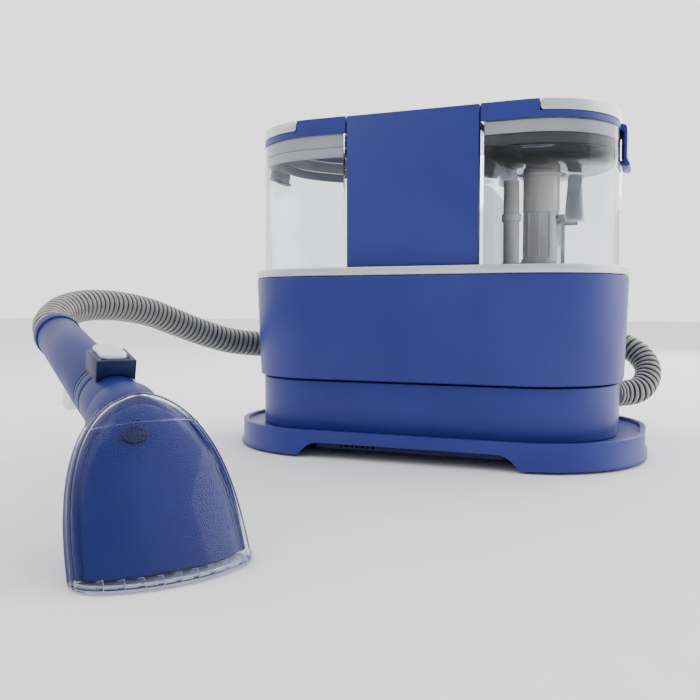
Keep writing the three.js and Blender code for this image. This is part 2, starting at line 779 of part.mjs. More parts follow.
piece(
  'circuit_board',
  box(
    -boardSize.halfWidth,
    boardSize.halfWidth,
    boardSize.y,
    boardSize.y + boardSize.thickness,
    boardSize.bottom,
    boardSize.top,
  ),
  board,
);

const ductBottom = 58;
const ductEnd = portRoot.clone().addScaledVector(portDirection, lowerRadius - 34);
piece(
  'recovery_duct',
  bareTube(
    [
      [riser.x, riser.y, tankBottom - 0.2 - gap],
      [riser.x, riser.y, 150],
      [riser.x, riser.y, 110],
      [riser.x + 1, riser.y + 6, 80],
      [(riser.x + ductEnd.x) / 2 + 2, (riser.y + ductEnd.y) / 2 + 3, ductBottom],
      [ductEnd.x, ductEnd.y, port.z + 2],
    ],
    ductHole.radius,
    ductHole.radius - 1.6,
    14,
    6,
  ),
  black,
);
const ductFar = fan.x + fan.radius + 4 + 16;
const ductLow = 50;
piece(
  'air_duct',
  bareTube(
    [
      [ductFar - 14, fan.y, upperTop - 7],
      [ductFar, fan.y, motorTop - 20],
      [ductFar, fan.y, fan.floor + 6],
      [ductFar - 12, fan.y, ductLow + 4],
      [fan.x + 34, fan.y, ductLow],
      [fan.x + 8, fan.y, ductLow + 2],
      [fan.x, fan.y, ductLow + 12],
      [fan.x, fan.y, fan.floor - 1],
    ],
    12,
    10,
    16,
    6,
  ),
  black,
);
piece(
  'supply_tube',
  bareTube(
    [
      [valve.x, valve.y, upperTop - 4],
      [valve.x, valve.y, 120],
      [valve.x - 4, valve.y - 6, 90],
      [valve.x - 4, valve.y - 6, 72],
      [valve.x - 4, valve.y - 6, pumpTop + 1],
    ],
    5,
    3,
    8,
    5,
  ),
  white,
);

// ---------------------------------------------------------------- hose port, hooks and hose
piece(
  'hose_port',
  alongPort(
    turned([
      [hose.bore / 2, lowerRadius - 8],
      [portOuter, lowerRadius - 8],
      [portOuter, lowerRadius + 4],
      [portOuter + 2, lowerRadius + 4],
      [portOuter + 2, lowerRadius + port.stand],
      [hose.bore / 2, lowerRadius + port.stand],
    ]),
  ),
  navy,
);

// The hose's centreline, from the handle round the back of the machine to its port.
const portEnd = portRoot.clone().addScaledVector(portDirection, lowerRadius + port.stand + gap);
const cuffLength = 12;
const hoseEnd = portEnd.clone().addScaledVector(portDirection, cuffLength + gap);
const toolTurn = THREE.MathUtils.degToRad(tool.turn);
const rise = THREE.MathUtils.degToRad(handle.rise);
const backward = new THREE.Vector3(-Math.sin(toolTurn), Math.cos(toolTurn), 0);
const handleAxis = backward.clone().multiplyScalar(Math.cos(rise)).addScaledVector(unitZ, Math.sin(rise));
const handleRoot = new THREE.Vector3(tool.x, tool.y, handle.z).addScaledVector(backward, handle.y);
const hoseStart = handleRoot.clone().addScaledVector(handleAxis, handle.length + gap);
const hoseStraight = hoseStart.clone().addScaledVector(handleAxis, 18);
const hoseOnFloor = hose.diameter / 2 + 0.5;
const route = [
  hoseStart.toArray(),
  hoseStraight.toArray(),
  [-258, -244, 132],
  [-263, -210, 138],
  [-262, -168, 138],
  [-258, -123, 132],
  [-252, -88, 122],
  [-243, -54, 111],
  [-229, -20, 101],
  [-212, 12, 96],
  [-196, 46, 93],
  [-178, 81, 92],
  [-149, 114, 93],
  [-112, 138, 95],
  [-84, hook.near, hook.z],
  [-30, hook.near, hook.z],
  [30, hook.near, hook.z],
  [84, hook.near, hook.z],
  [112, 152, 90],
  [132, 156, 70],
  [134, 161, 45],
  [117, 165, 23.5],
  [88, 168, hoseOnFloor + 0.6],
  [50, 169, hoseOnFloor],
  [0, 170, hoseOnFloor],
  [-50, 172, hoseOnFloor],
  [-88, 174, hoseOnFloor + 0.6],
  [-117, 177, 23.5],
  [-134, 179, 45],
  [-132, 181, 70],
  [-112, 181, 90],
  [-84, hook.far, hook.z],
  [-30, hook.far, hook.z],
  [30, hook.far, hook.z],
  [84, hook.far, hook.z],
  [118, 180.5, 97],
  [150, 176, 98],
  [176, 168, 92],
  [192, 159, 80],
  [198, 148, 67],
  [195, 136, 55],
  [187, 125, 47.5],
  hoseEnd.clone().addScaledVector(portDirection, 10).toArray(),
  hoseEnd.toArray(),
];
piece('hose_tube', bareTube(route, hose.diameter / 2, 0, 80, 5), hoseGrey);
const hoseCuff = [
  [hose.bore / 2, lowerRadius + port.stand + gap],
  [portOuter + 1, lowerRadius + port.stand + gap],
  [portOuter, lowerRadius + port.stand + gap + cuffLength],
  [hose.bore / 2, lowerRadius + port.stand + gap + cuffLength],
];
piece('hose_cuff', alongPort(turned(hoseCuff)), navy);

// Shelf-like hooks on the back; the hose lies in them twice, side by side.
function hookShape() {
  const r = hose.diameter / 2 + 1;
  const t = hook.thickness;
  const bed = hook.z - r;
  const inner = hook.far + r;
  const shape = new THREE.Shape();
  shape.moveTo(rearY + gap, bed - t - hook.brace);
  shape.lineTo(rearY + t, bed - t - hook.brace);
  shape.lineTo(rearY + 2 * hook.brace, bed - t);
  shape.lineTo(inner, bed - t);
  shape.absarc(inner, bed, t, -Math.PI / 2, 0, false);
  shape.lineTo(inner + t, bed + hook.lip);
  shape.lineTo(inner, bed + hook.lip);
  shape.lineTo(inner, bed);
  shape.lineTo(rearY + t, bed);
  shape.lineTo(rearY + t, hook.z + r);
  shape.lineTo(rearY + gap, hook.z + r);
  return shape;
}
for (const [name, x] of [['hose_hook_left', -hook.x], ['hose_hook_right', hook.x]]) {
  piece(name, slab(hookShape(), x - hook.width / 2, x + hook.width / 2, 6).applyMatrix4(yzPlane), navy);
}

// ---------------------------------------------------------------- hand tool
// Its own frame: x across the mouth, y back along the handle, z up, on the mouth's chord at floor level.
const handTool = new THREE.Group();
handTool.position.set(tool.x, tool.y, 0);
handTool.rotation.z = toolTurn;
assembly.add(handTool);

// Pieces round the handle are drawn up their own z axis, which points along the handle.
const handleGroup = new THREE.Group();
handleGroup.position.set(0, handle.y, handle.z);
handleGroup.rotation.x = -(Math.PI / 2 - rise);
handTool.add(handleGroup);
function radiusAt(t) {
  const share = Math.max(0, t - handle.neck) / (handle.length - handle.neck);
  return handle.neckRadius + (handle.topRadius - handle.neckRadius) * share;
}
const tubeTop = handle.length - collar.length;
piece(
  'handle_grip',
  build(
    turned([
      [radiusAt(handle.neck) - handle.wall, handle.neck + gap],
      [radiusAt(handle.neck), handle.neck + gap],
      [radiusAt(tubeTop), tubeTop - gap],
      [radiusAt(tubeTop) - handle.wall, tubeTop - gap],
    ]),
    ['subtract', box(-5.5, 5.5, 4, 30, trigger.start - 3, trigger.end + 4)],
  ),
  blue,
  handleGroup,
);
piece(
  'handle_collar',
  turned([
    [hose.bore / 2, tubeTop],
    [radiusAt(tubeTop) + collar.proud, tubeTop],
    [radiusAt(tubeTop) + collar.proud, handle.length - 1],
    [radiusAt(tubeTop), handle.length],
    [hose.bore / 2, handle.length],
  ]),
  blue,
  handleGroup,
);
piece(
  'nozzle_neck',
  turned([
    [handle.neckRadius - handle.wall, 26],
    [handle.neckRadius, 26],
    [handle.neckRadius, handle.neck],
    [handle.neckRadius - handle.wall, handle.neck],
  ]),
  blue,
  handleGroup,
);
// The underside of the handle faces its group's +y. The trigger is a curved lever that hangs from it.
function triggerShape() {
  const shape = new THREE.Shape();
  shape.moveTo(trigger.root, trigger.start);
  shape.lineTo(trigger.root, trigger.end);
  shape.lineTo(trigger.root + 12, trigger.end);
  shape.quadraticCurveTo(trigger.tip - 14, trigger.end - 8, trigger.tip, trigger.end - 2);
  shape.quadraticCurveTo(trigger.tip + 2, trigger.start + 6, trigger.tip - 8, trigger.start + 3);
  shape.lineTo(trigger.root + 12, trigger.start);
  return shape;
}
piece(
  'spray_trigger',
  slab(triggerShape(), -trigger.halfWidth, trigger.halfWidth, 5).applyMatrix4(yzPlane),
  white,
  handleGroup,
);
const housing = {
  half: 12,
  wall: 3,
  bottom: handle.neckRadius + 0.6,
  height: 9,
  start: handle.neck - 18,
  end: handle.neck + 7,
};
const housingInner = housing.half - housing.wall;
const housingFloor = -housing.bottom - housing.wall;
piece(
  'latch_housing',
  build(
    box(-housing.half, housing.half, -housing.bottom - housing.height, -6, housing.start, housing.end),
    ['subtract', column(0, 0, housing.start - 5, housing.end + 5, housing.bottom, housing.bottom, 32)],
    [
      'subtract',
      box(-housingInner, housingInner, -60, housingFloor, housing.start + housing.wall, housing.end + 35),
    ],
  ),
  navy,
  handleGroup,
);
const paddleHalf = housingInner - 0.6;
const paddleShape = roundedRect(-paddleHalf, paddleHalf, housing.start + 3.6, housing.end + 3, 5);
piece(
  'release_latch',
  slab(paddleShape, 0, 4, 5)
    .rotateX(Math.PI / 2)
    .translate(0, -housing.bottom - housing.height + 1.5, 0),
  silver,
  handleGroup,
);
piece('spray_valve', box(-5, 5, 0, 9, handle.neck + 32, handle.neck + 58), black, handleGroup);

// Mouthpiece: a bell-shaped shell, drawn in the plane of its rim, that leans back over the mouth.
const bell = new THREE.Group();
bell.rotation.x = THREE.MathUtils.degToRad(90 - nozzle.lean);
handTool.add(bell);
const leanSlope = Math.tan(THREE.MathUtils.degToRad(nozzle.lean));

// Half-width of the bell at height s, and how far its front stands out at x.
function bellHalf(s, inset) {
  const h = nozzle.height - inset;
  const share = Math.min(Math.max(s, 0) / h, 0.999);
  return (nozzle.width / 2 - inset) * Math.sqrt(1 - share ** 2.6);
}
function bulgeAt(share, across, height) {
  return height * Math.sqrt(Math.max(0, 1 - across ** 2) * (1 - 0.96 * share ** 3)) + 0.01;
}

// A grid of points over the bell, inset from its rim, standing out by height at the middle of the mouth.
function bellSheet(inset, height, base, columns = 14, rows = 9, lift = 0) {
  const sheet = [];
  for (let r = 0; r <= rows; r++) {
    const share = Math.sin(((r / rows) * Math.PI) / 2) * 0.985;
    const line = [];
    for (let c = 0; c <= columns; c++) {
      const across = -Math.cos((c / columns) * Math.PI);
      const out = base + bulgeAt(share, across, height);
      const floorLine = -out * leanSlope + lift;
      const s = floorLine + (nozzle.height - inset - floorLine) * share;
      line.push(new THREE.Vector3(across * bellHalf(Math.max(s, 0), inset), s, out));
    }
    sheet.push(line);
  }
  return sheet;
}

// Closes the space between a front and a back sheet of the same grid.
function between(front, back) {
  const rows = front.length;
  const columns = front[0].length;
  const positions = [...front.flat(), ...back.flat()].flatMap((p) => [p.x, p.y, p.z]);
  const at = (side, r, c) => side * rows * columns + r * columns + c;
  const triangles = [];
  for (let r = 0; r < rows - 1; r++) {
    for (let c = 0; c < columns - 1; c++) {
      const corners = [[r, c], [r, c + 1], [r + 1, c + 1], [r + 1, c]];
      const [a, b, c2, d] = corners.map(([row, column]) => at(0, row, column));
      const [e, f, g, h] = corners.map(([row, column]) => at(1, row, column));
      triangles.push(a, b, c2, a, c2, d);
      triangles.push(e, g, f, e, h, g);
    }
  }
  const rim = [];
  for (let c = 0; c < columns - 1; c++) rim.push([0, c]);
  for (let r = 0; r < rows - 1; r++) rim.push([r, columns - 1]);
  for (let c = columns - 1; c > 0; c--) rim.push([rows - 1, c]);
  for (let r = rows - 1; r > 0; r--) rim.push([r, 0]);
  rim.forEach(([r, c], i) => {
    const [r2, c2] = rim[(i + 1) % rim.length];
    triangles.push(at(0, r, c), at(1, r, c), at(1, r2, c2), at(0, r, c), at(1, r2, c2), at(0, r2, c2));
  });
  return indexed(positions, triangles);
}
const coverLift = 1;
piece(
  'nozzle_cover',
  between(
    bellSheet(0, nozzle.bulge, 0.5, 14, 9, coverLift),
    bellSheet(nozzle.cover, nozzle.bulge - nozzle.cover, 0.4, 14, 9, coverLift),
  ),
  clear,
  bell,
);
const bodyFront = nozzle.bulge - nozzle.cover - nozzle.channel;
const neckSocket = new THREE.Matrix4()
  .makeRotationX(-(Math.PI / 2 - rise))
  .premultiply(new THREE.Matrix4().makeTranslation(0, handle.y, handle.z))
  .premultiply(new THREE.Matrix4().makeRotationX(-bell.rotation.x));
function alongNeck(from, to, radius) {
  return column(0, 0, from, to, radius, radius, 28).applyMatrix4(neckSocket);
}
const socketHole = alongNeck(14, 90, handle.neckRadius + gap);
const socketRing = alongNeck(21, 40, handle.neckRadius + 3);
piece(
  'nozzle_body',
  build(
    between(
      bellSheet(nozzle.cover + 4, bodyFront, 0.2, 14, 9, 5),
      bellSheet(nozzle.cover + 4, 0, -nozzle.back, 14, 9, 5),
    ),
    ['add', between(bellSheet(-0.5, 0, 0, 14, 9, 2), bellSheet(-0.5, 0, -nozzle.back, 14, 9, 2))],
    ['add', socketRing],
    ['subtract', socketHole],
  ),
  blue,
  bell,
);

// Jet that wets the carpet, standing in the suction channel near the top of the mouthpiece.
const jet = { x: -8, s: 72, halfWidth: 7, halfHeight: 4.5, length: 2 };
const jetShare = jet.s / (nozzle.height - nozzle.cover - 4);
const jetAcross = jet.x / bellHalf(jet.s, nozzle.cover + 4);
const jetBase = bulgeAt(jetShare, jetAcross, bodyFront) + 1.3;
const jetShape = new THREE.Shape();
jetShape.absellipse(jet.x, jet.s, jet.halfWidth, jet.halfHeight, 0, 2 * Math.PI, false, 0);
piece('spray_jet', slab(jetShape, jetBase, jetBase + jet.length, 12), navy, bell);

// ---------------------------------------------------------------- origin
// The whole object stands on the floor, and its footprint is centred on the origin.
assembly.updateMatrixWorld(true);
const extent = new THREE.Box3();
assembly.traverse((mesh) => {
  if (mesh.isMesh && mesh.name !== 'hose_tube' && mesh.name !== 'hose_cuff') {
    extent.expandByObject(mesh, true);
  }
});
const centre = extent.getCenter(new THREE.Vector3());
assembly.position.set(-centre.x, -centre.y, -extent.min.z);
const machine = new THREE.Group();
machine.add(assembly);
export default machine;
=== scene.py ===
# %% [markdown]
# Portable carpet washer: the looks.
# The designed parts arrive as a fixed frame in metres, one object for each part. This lesson lights them,
# replaces the faceted shells with smooth moulded ones, and gives every surface its own finish.
# Every place is worked out from the frame, so nothing here is fitted by eye afterwards.

import json
import math
import bmesh
import bpy
from mathutils import Matrix, Vector


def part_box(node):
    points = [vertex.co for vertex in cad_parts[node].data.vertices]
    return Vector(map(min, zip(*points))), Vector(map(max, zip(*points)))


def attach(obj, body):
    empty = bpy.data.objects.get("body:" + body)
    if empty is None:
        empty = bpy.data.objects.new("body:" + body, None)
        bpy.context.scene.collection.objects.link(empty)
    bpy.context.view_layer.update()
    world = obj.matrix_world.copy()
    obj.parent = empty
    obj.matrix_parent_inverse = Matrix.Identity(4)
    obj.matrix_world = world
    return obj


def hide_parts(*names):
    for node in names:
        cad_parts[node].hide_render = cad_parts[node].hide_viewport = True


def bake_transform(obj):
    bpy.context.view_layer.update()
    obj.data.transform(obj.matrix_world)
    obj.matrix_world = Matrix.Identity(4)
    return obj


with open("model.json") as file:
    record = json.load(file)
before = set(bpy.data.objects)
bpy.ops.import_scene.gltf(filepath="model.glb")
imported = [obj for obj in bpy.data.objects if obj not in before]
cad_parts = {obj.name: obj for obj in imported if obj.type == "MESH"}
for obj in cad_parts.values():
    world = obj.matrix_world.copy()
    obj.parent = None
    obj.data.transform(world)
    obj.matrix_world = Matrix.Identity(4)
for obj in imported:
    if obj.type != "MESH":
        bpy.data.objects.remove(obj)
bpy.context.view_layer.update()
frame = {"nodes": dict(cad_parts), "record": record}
bpy.ops.object.select_all(action="DESELECT")
MM = 0.001

# %% [markdown]
# The machine's own centre is the middle of its base tray. Sizes in this lesson are millimetres about that
# centre, with z from the floor, and `at` turns them into places in the frame.

# %% Places about the machine's centre
tray_low, tray_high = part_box("base_tray")
centre = (tray_low + tray_high) / 2
centre.z = 0


def at(x, y, z):
    return centre + Vector((x, y, z)) * MM


print("machine centre", [round(v, 4) for v in centre])

# %% [markdown]
# The camera stands in front of the right-hand tank, low down and turned to the left, with a lens of about
# 40 mm. A longer lens further off would flatten the oval ends, so the distance matters as much as the angle.

# %% Camera
camera_data = bpy.data.cameras.new("camera")
camera_data.sensor_width = 36
camera_data.lens = 40.04
camera_data.clip_start = 0.01
camera = bpy.data.objects.new("camera", camera_data)
bpy.context.collection.objects.link(camera)
camera.location = at(199.0, -762.1, 137.1)
camera.rotation_euler = (math.radians(90 - 3.17), 0, math.radians(21.07))
bpy.context.scene.camera = camera

# %% [markdown]
# The hose is one long corrugated tube. Its route is a list of points, the same as the designed part's, made
# smooth by a centripetal Catmull-Rom curve, which passes through each point without overshooting. A tube of
# rings follows it, and each ring's radius rises and falls along a helix, as on a hose wound from one strip.

# %% Hose route
HOSE_DIAMETER = 27.5
port_angle = math.radians(50)
port_out = Vector((math.cos(port_angle), math.sin(port_angle), 0))
port_root = Vector((96, 23, 45))
tool_origin = Vector((-32, -427, 0))
tool_turn = math.radians(53.9)
tool_rise = math.radians(14.45)
tool_back = Vector((-math.sin(tool_turn), math.cos(tool_turn), 0))
handle_axis = tool_back * math.cos(tool_rise) + Vector((0, 0, math.sin(tool_rise)))
handle_root = tool_origin + tool_back * 33 + Vector((0, 0, 63))
HANDLE_LENGTH = 216
PORT_END = 77 + 14 + 0.4 + 12 + 0.4
hose_start = handle_root + handle_axis * (HANDLE_LENGTH + 0.4)
hose_end = port_root + port_out * PORT_END
route = [
    hose_start,
    hose_start + handle_axis * 18,
    Vector((-258, -244, 132)),
    Vector((-263, -210, 138)),
    Vector((-262, -168, 138)),
    Vector((-258, -123, 132)),
    Vector((-252, -88, 122)),
    Vector((-243, -54, 111)),
    Vector((-229, -20, 101)),
    Vector((-212, 12, 96)),
    Vector((-196, 46, 93)),
    Vector((-178, 81, 92)),
    Vector((-149, 114, 93)),
    Vector((-112, 138, 95)),
    Vector((-84, 149.5, 96)),
    Vector((-30, 149.5, 96)),
    Vector((30, 149.5, 96)),
    Vector((84, 149.5, 96)),
    Vector((112, 152, 90)),
    Vector((132, 156, 70)),
    Vector((134, 161, 45)),
    Vector((117, 165, 23.5)),
    Vector((88, 168, 14.85)),
    Vector((50, 169, 14.25)),
    Vector((0, 170, 14.25)),
    Vector((-50, 172, 14.25)),
    Vector((-88, 174, 14.85)),
    Vector((-117, 177, 23.5)),
    Vector((-134, 179, 45)),
    Vector((-132, 181, 70)),
    Vector((-112, 181, 90)),
    Vector((-84, 179.5, 96)),
    Vector((-30, 179.5, 96)),
    Vector((30, 179.5, 96)),
    Vector((84, 179.5, 96)),
    Vector((118, 180.5, 97)),
    Vector((150, 176, 98)),
    Vector((176, 168, 92)),
    Vector((192, 159, 80)),
    Vector((198, 148, 67)),
    Vector((195, 136, 55)),
    Vector((187, 125, 47.5)),
    hose_end + port_out * 10,
    hose_end,
]


def smooth_line(points, spacing):
    """Centripetal Catmull-Rom through the points, then points a fixed spacing apart along it."""
    ends = [2 * points[0] - points[1], *points, 2 * points[-1] - points[-2]]
    fine = []
    for p0, p1, p2, p3 in zip(ends, ends[1:], ends[2:], ends[3:]):
        t1 = (p1 - p0).length ** 0.5
        t2 = t1 + (p2 - p1).length ** 0.5
        t3 = t2 + (p3 - p2).length ** 0.5
        for step in range(24):
            t = t1 + (t2 - t1) * step / 24
            a1 = p0.lerp(p1, t / t1)
            a2 = p1.lerp(p2, (t - t1) / (t2 - t1))
            a3 = p2.lerp(p3, (t - t2) / (t3 - t2))
            b1 = a1.lerp(a2, t / t2)
            b2 = a2.lerp(a3, (t - t1) / (t3 - t1))
            fine.append(b1.lerp(b2, (t - t1) / (t2 - t1)))
    fine.append(points[-1])
    lengths = [0.0]
    for a, b in zip(fine, fine[1:]):
        lengths.append(lengths[-1] + (b - a).length)
    count = round(lengths[-1] / spacing)
    line, i = [], 0
    for k in range(count + 1):
        want = lengths[-1] * k / count
        while i < len(fine) - 2 and lengths[i + 1] < want:
            i += 1
        line.append(fine[i].lerp(fine[i + 1], (want - lengths[i]) / (lengths[i + 1] - lengths[i])))
    return line, lengths[-1]


RIB_PITCH = 6.2
RINGS_PER_RIB = 8
hose_line, hose_length = smooth_line(route, RIB_PITCH / RINGS_PER_RIB)
print("hose centreline, mm:", round(hose_length))

# %% [markdown]
# The tube's frame is carried along the line without twist, so the helix keeps an even lead. The ridge is wide
# and rounded and the groove between two turns is narrow. The UV map holds the distance along the helix in
# turns, which the hose's finish reads to paint shade into the groove.

# %% Hose mesh
def helix_tube(name, line, radius, groove, sides, rings_per_rib):
    """A closed tube along a line of evenly spaced points, with a helical groove cut into it."""
    mesh = bmesh.new()
    phase_layer = mesh.loops.layers.uv.new("turns")
    tangent = (line[1] - line[0]).normalized()
    side = tangent.orthogonal().normalized()
    rings, phases = [], []
    for i, point in enumerate(line):
        ahead = line[min(i + 1, len(line) - 1)] - line[max(i - 1, 0)]
        turn = tangent.rotation_difference(ahead.normalized())
        tangent, side = ahead.normalized(), (turn @ side).normalized()
        up = tangent.cross(side)
        ring, ring_phase = [], []
        for k in range(sides):
            angle = 2 * math.pi * k / sides
            turns = i / rings_per_rib + k / sides
            wave = math.cos(2 * math.pi * turns)
            dip = max(0.0, wave) ** 2.2
            ends = min(1.0, i / rings_per_rib, (len(line) - 1 - i) / rings_per_rib)
            r = radius - groove * dip * ends
            offset = side * math.cos(angle) + up * math.sin(angle)
            ring.append(mesh.verts.new(centre + (point + offset * r) * MM))
            ring_phase.append(turns)
        rings.append(ring)
        phases.append(ring_phase)
    for i in range(len(rings) - 1):
        for k in range(sides):
            n = (k + 1) % sides
            face = mesh.faces.new((rings[i][k], rings[i][n], rings[i + 1][n], rings[i + 1][k]))
            face.smooth = True
            values = (
                phases[i][k],
                phases[i][k] + 1 / sides,
                phases[i + 1][k] + 1 / sides,
                phases[i + 1][k],
            )
            for loop, value in zip(face.loops, values):
                loop[phase_layer].uv = (value, k / sides)
    mesh.faces.new(list(reversed(rings[0])))
    mesh.faces.new(rings[-1])
    bmesh.ops.recalc_face_normals(mesh, faces=mesh.faces)
    data = bpy.data.meshes.new(name)
    mesh.to_mesh(data)
    mesh.free()
    piece = bpy.data.objects.new(name, data)
    bpy.context.collection.objects.link(piece)
    return piece


hose = helix_tube("corrugated_hose", hose_line, HOSE_DIAMETER / 2, 2.6, 28, RINGS_PER_RIB)
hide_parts("hose_tube")
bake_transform(hose)
print("hose faces:", len(hose.data.polygons))

# %% [markdown]
# Everything else starts as a primitive and is shaped in edit mode, as by hand. A few helpers keep that short:
# one adds a box between two corners, one selects only the faces or edges that pass a test, and one rounds
# edges with a Bevel modifier, because no moulded part has a perfectly sharp edge, and light shows it.

# %% Modelling helpers
def activate(piece):
    if bpy.context.object and bpy.context.object.mode == "EDIT":
        bpy.ops.object.mode_set(mode="OBJECT")
    bpy.ops.object.select_all(action="DESELECT")
    piece.select_set(True)
    bpy.context.view_layer.objects.active = piece


def settle(name):
    """Names the new primitive and puts its place and size into its mesh."""
    piece = bpy.context.object
    piece.name = piece.data.name = name
    bpy.ops.object.transform_apply(location=True, rotation=True, scale=True)
    return piece


def block(name, low, high):
    bpy.ops.object.select_all(action="DESELECT")
    low, high = at(*low), at(*high)
    bpy.ops.mesh.primitive_cube_add(size=1, location=(low + high) / 2, scale=high - low)
    return settle(name)


def disc(name, radius, depth, place, sides=64):
    """An upright cylinder about a place."""
    bpy.ops.object.select_all(action="DESELECT")
    size = {"radius": radius * MM, "depth": depth * MM}
    bpy.ops.mesh.primitive_cylinder_add(vertices=sides, location=at(*place), **size)
    return settle(name)


def choose(piece, kind, test):
    """Enters edit mode with the faces or edges that pass a test selected; places are in millimetres."""
    activate(piece)
    bpy.ops.object.mode_set(mode="EDIT")
    bpy.ops.mesh.select_mode(type=kind)
    bpy.ops.mesh.select_all(action="DESELECT")
    mesh = bmesh.from_edit_mesh(piece.data)
    for item in mesh.faces if kind == "FACE" else mesh.edges:
        if kind == "FACE":
            place, heading = item.calc_center_median(), item.normal
        else:
            a, b = item.verts[0].co, item.verts[1].co
            place, heading = (a + b) / 2, (b - a).normalized()
        item.select_set(test((place - centre) / MM, heading))
    bmesh.update_edit_mesh(piece.data)


def done():
    bpy.ops.object.mode_set(mode="OBJECT")


def extrude(x, y, z):
    bpy.ops.mesh.extrude_region_move(TRANSFORM_OT_translate={"value": (x * MM, y * MM, z * MM)})


def scale_flat(x, y, about=(0, 0, 0)):
    bpy.ops.transform.resize(value=(x, y, 1), center_override=at(*about))


def modify(piece, kind, **settings):
    activate(piece)
    modifier = piece.modifiers.new(kind.lower(), kind)
    for key, value in settings.items():
        setattr(modifier, key, value)
    bpy.ops.object.modifier_apply(modifier=modifier.name)


def cut(piece, tool, operation="DIFFERENCE"):
    modify(piece, "BOOLEAN", object=tool, operation=operation, solver="EXACT")
    bpy.data.objects.remove(tool)


def soften(piece, width, segments=3, angle=32):
    """Rounds every edge sharper than the angle, then shades the rest smooth."""
    if width:
        modify(
            piece,
            "BEVEL",
            width=width * MM,
            segments=segments,
            limit_method="ANGLE",
            angle_limit=math.radians(angle),
            use_clamp_overlap=True,
        )
    activate(piece)
    bpy.ops.object.shade_smooth_by_angle(angle=math.radians(angle))
    return piece


def facing(axis, sign):
    return lambda place, heading: heading[axis] * sign > 0.95


def oblong(name, length, depth, corner, low, high, segments=26):
    """A block with a rounded-rectangle plan: a box whose four upright edges are bevelled."""
    piece = block(name, (-length / 2, -depth / 2, low), (length / 2, depth / 2, high))
    choose(piece, "EDGE", lambda place, heading: abs(heading.z) > 0.9)
    bpy.ops.mesh.bevel(offset=corner * MM, segments=segments)
    done()
    return piece


def hollow(piece, wall, depth, side=1):
    """Sinks the top (side 1) or the underside (side -1), leaving a wall round it."""
    choose(piece, "FACE", facing(2, side))
    bpy.ops.mesh.inset(thickness=wall * MM)
    extrude(0, 0, -side * depth)
    done()


def finished(piece, node_names, body="machine", slot="blue_plastic"):
    if isinstance(node_names, str):
        node_names = [node_names]
    if node_names:
        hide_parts(*node_names)
    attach(piece, body)
    slot_by_piece[piece.name] = slot
    made.append(piece)
    return piece


made = []
slot_by_piece = {}
print("helpers ready")

# %% [markdown]
# The base tray is a shallow moulded tray with a raised rim, wider than the machine that stands in it. Its
# outline is a box with bevelled corners. The underside flares out a little, and an arch is cut through from
# front to back, so that the tray stands on its two ends.

# %% Base tray
TRAY_LENGTH, TRAY_DEPTH = 394, 238
TRAY_TOP = 25
TRAY_FLARE = 4
ARCH_HALF, ARCH_TOP = 88, 14
ARCH_SPREAD = 14
tray = oblong("tray_moulding", TRAY_LENGTH, TRAY_DEPTH, 101, 8, TRAY_TOP)
choose(tray, "FACE", facing(2, -1))
extrude(0, 0, -4)
scale_flat((TRAY_LENGTH + TRAY_FLARE) / TRAY_LENGTH, (TRAY_DEPTH + TRAY_FLARE) / TRAY_DEPTH)
extrude(0, 0, -2)
done()
hollow(tray, 5, 3)
choose(tray, "FACE", lambda place, heading: heading.z > 0.95 and place.z < TRAY_TOP - 2)
scale_flat(0.997, 0.995)
done()
hollow(tray, 6, 14, -1)
arch = block("arch", (-ARCH_HALF, -140, 2), (ARCH_HALF, 140, ARCH_TOP))
choose(arch, "FACE", facing(2, -1))
scale_flat((ARCH_HALF + ARCH_SPREAD) / ARCH_HALF, 1)
extrude(0, 0, -4)
done()
choose(arch, "EDGE", lambda place, heading: abs(heading.y) > 0.9 and place.z > 1)
bpy.ops.mesh.bevel(offset=7 * MM, segments=8)
done()
cut(tray, arch)
finished(soften(tray, 0.9, 3), "base_tray")
print("tray faces:", len(tray.data.polygons))

# %% [markdown]
# The casing has two steps. The lower one is set back, so a fine shadow runs under the upper one, which tapers
# slightly towards its foot, as a moulding must to leave its tool. A silver band closes the top.

# %% Casing and silver band
CASING_LENGTH, CASING_DEPTH, CASING_CORNER = 360, 214, 84
CASING_TAPER = 6
STEP = 14
lower = oblong("lower_shell", CASING_LENGTH - STEP, CASING_DEPTH - STEP, CASING_CORNER - STEP / 2, 22.4, 68.4)
hollow(lower, 3, 40)
finished(soften(lower, 0.8), "lower_casing")

upper = oblong("upper_shell", CASING_LENGTH, CASING_DEPTH, CASING_CORNER, 70, 165)
choose(upper, "FACE", facing(2, -1))
scale_flat((CASING_LENGTH - CASING_TAPER) / CASING_LENGTH, (CASING_DEPTH - CASING_TAPER) / CASING_DEPTH)
done()
hollow(upper, 16, 60)
cut(upper, block("outlet", (-42, 95, 98), (42, 112, 132)))
finished(soften(upper, 1.6, 4), "upper_casing")

band = oblong("silver_band", CASING_LENGTH, CASING_DEPTH, CASING_CORNER, 165.4, 172.9)
choose(band, "FACE", lambda place, heading: abs(heading.z) > 0.95)
bpy.ops.mesh.inset(thickness=8 * MM)
bpy.ops.mesh.bridge_edge_loops()
done()
finished(soften(band, 1.3, 4), "trim_band", slot="silver_plastic")
print("casing faces:", len(lower.data.polygons), len(upper.data.polygons), len(band.data.polygons))

# %% [markdown]
# Between the tanks stands the tower. It is a box with a deep pocket in its top, crossed by the bar that the
# hand lifts, and a flat front panel hides its front. The pocket and the button's hole are cut by booleans
# before the edges are rounded, so that the rims of the cuts are rounded with them.

# %% Tower, grip bar and power button
TOP = 309.2
TOWER_HALF = 60.3
BUTTON_RADIUS, BUTTON_Y = 9, -66
tower = block("tower_shell", (-TOWER_HALF, -95, 168.8), (TOWER_HALF, 98, TOP))
cut(tower, block("pocket", (-48, -34, TOP - 36), (48, 50, TOP + 4)))
cut(tower, disc("button_hole", BUTTON_RADIUS + 0.4, 16, (0, BUTTON_Y, TOP)))
finished(soften(tower, 1.2), "tower_body")

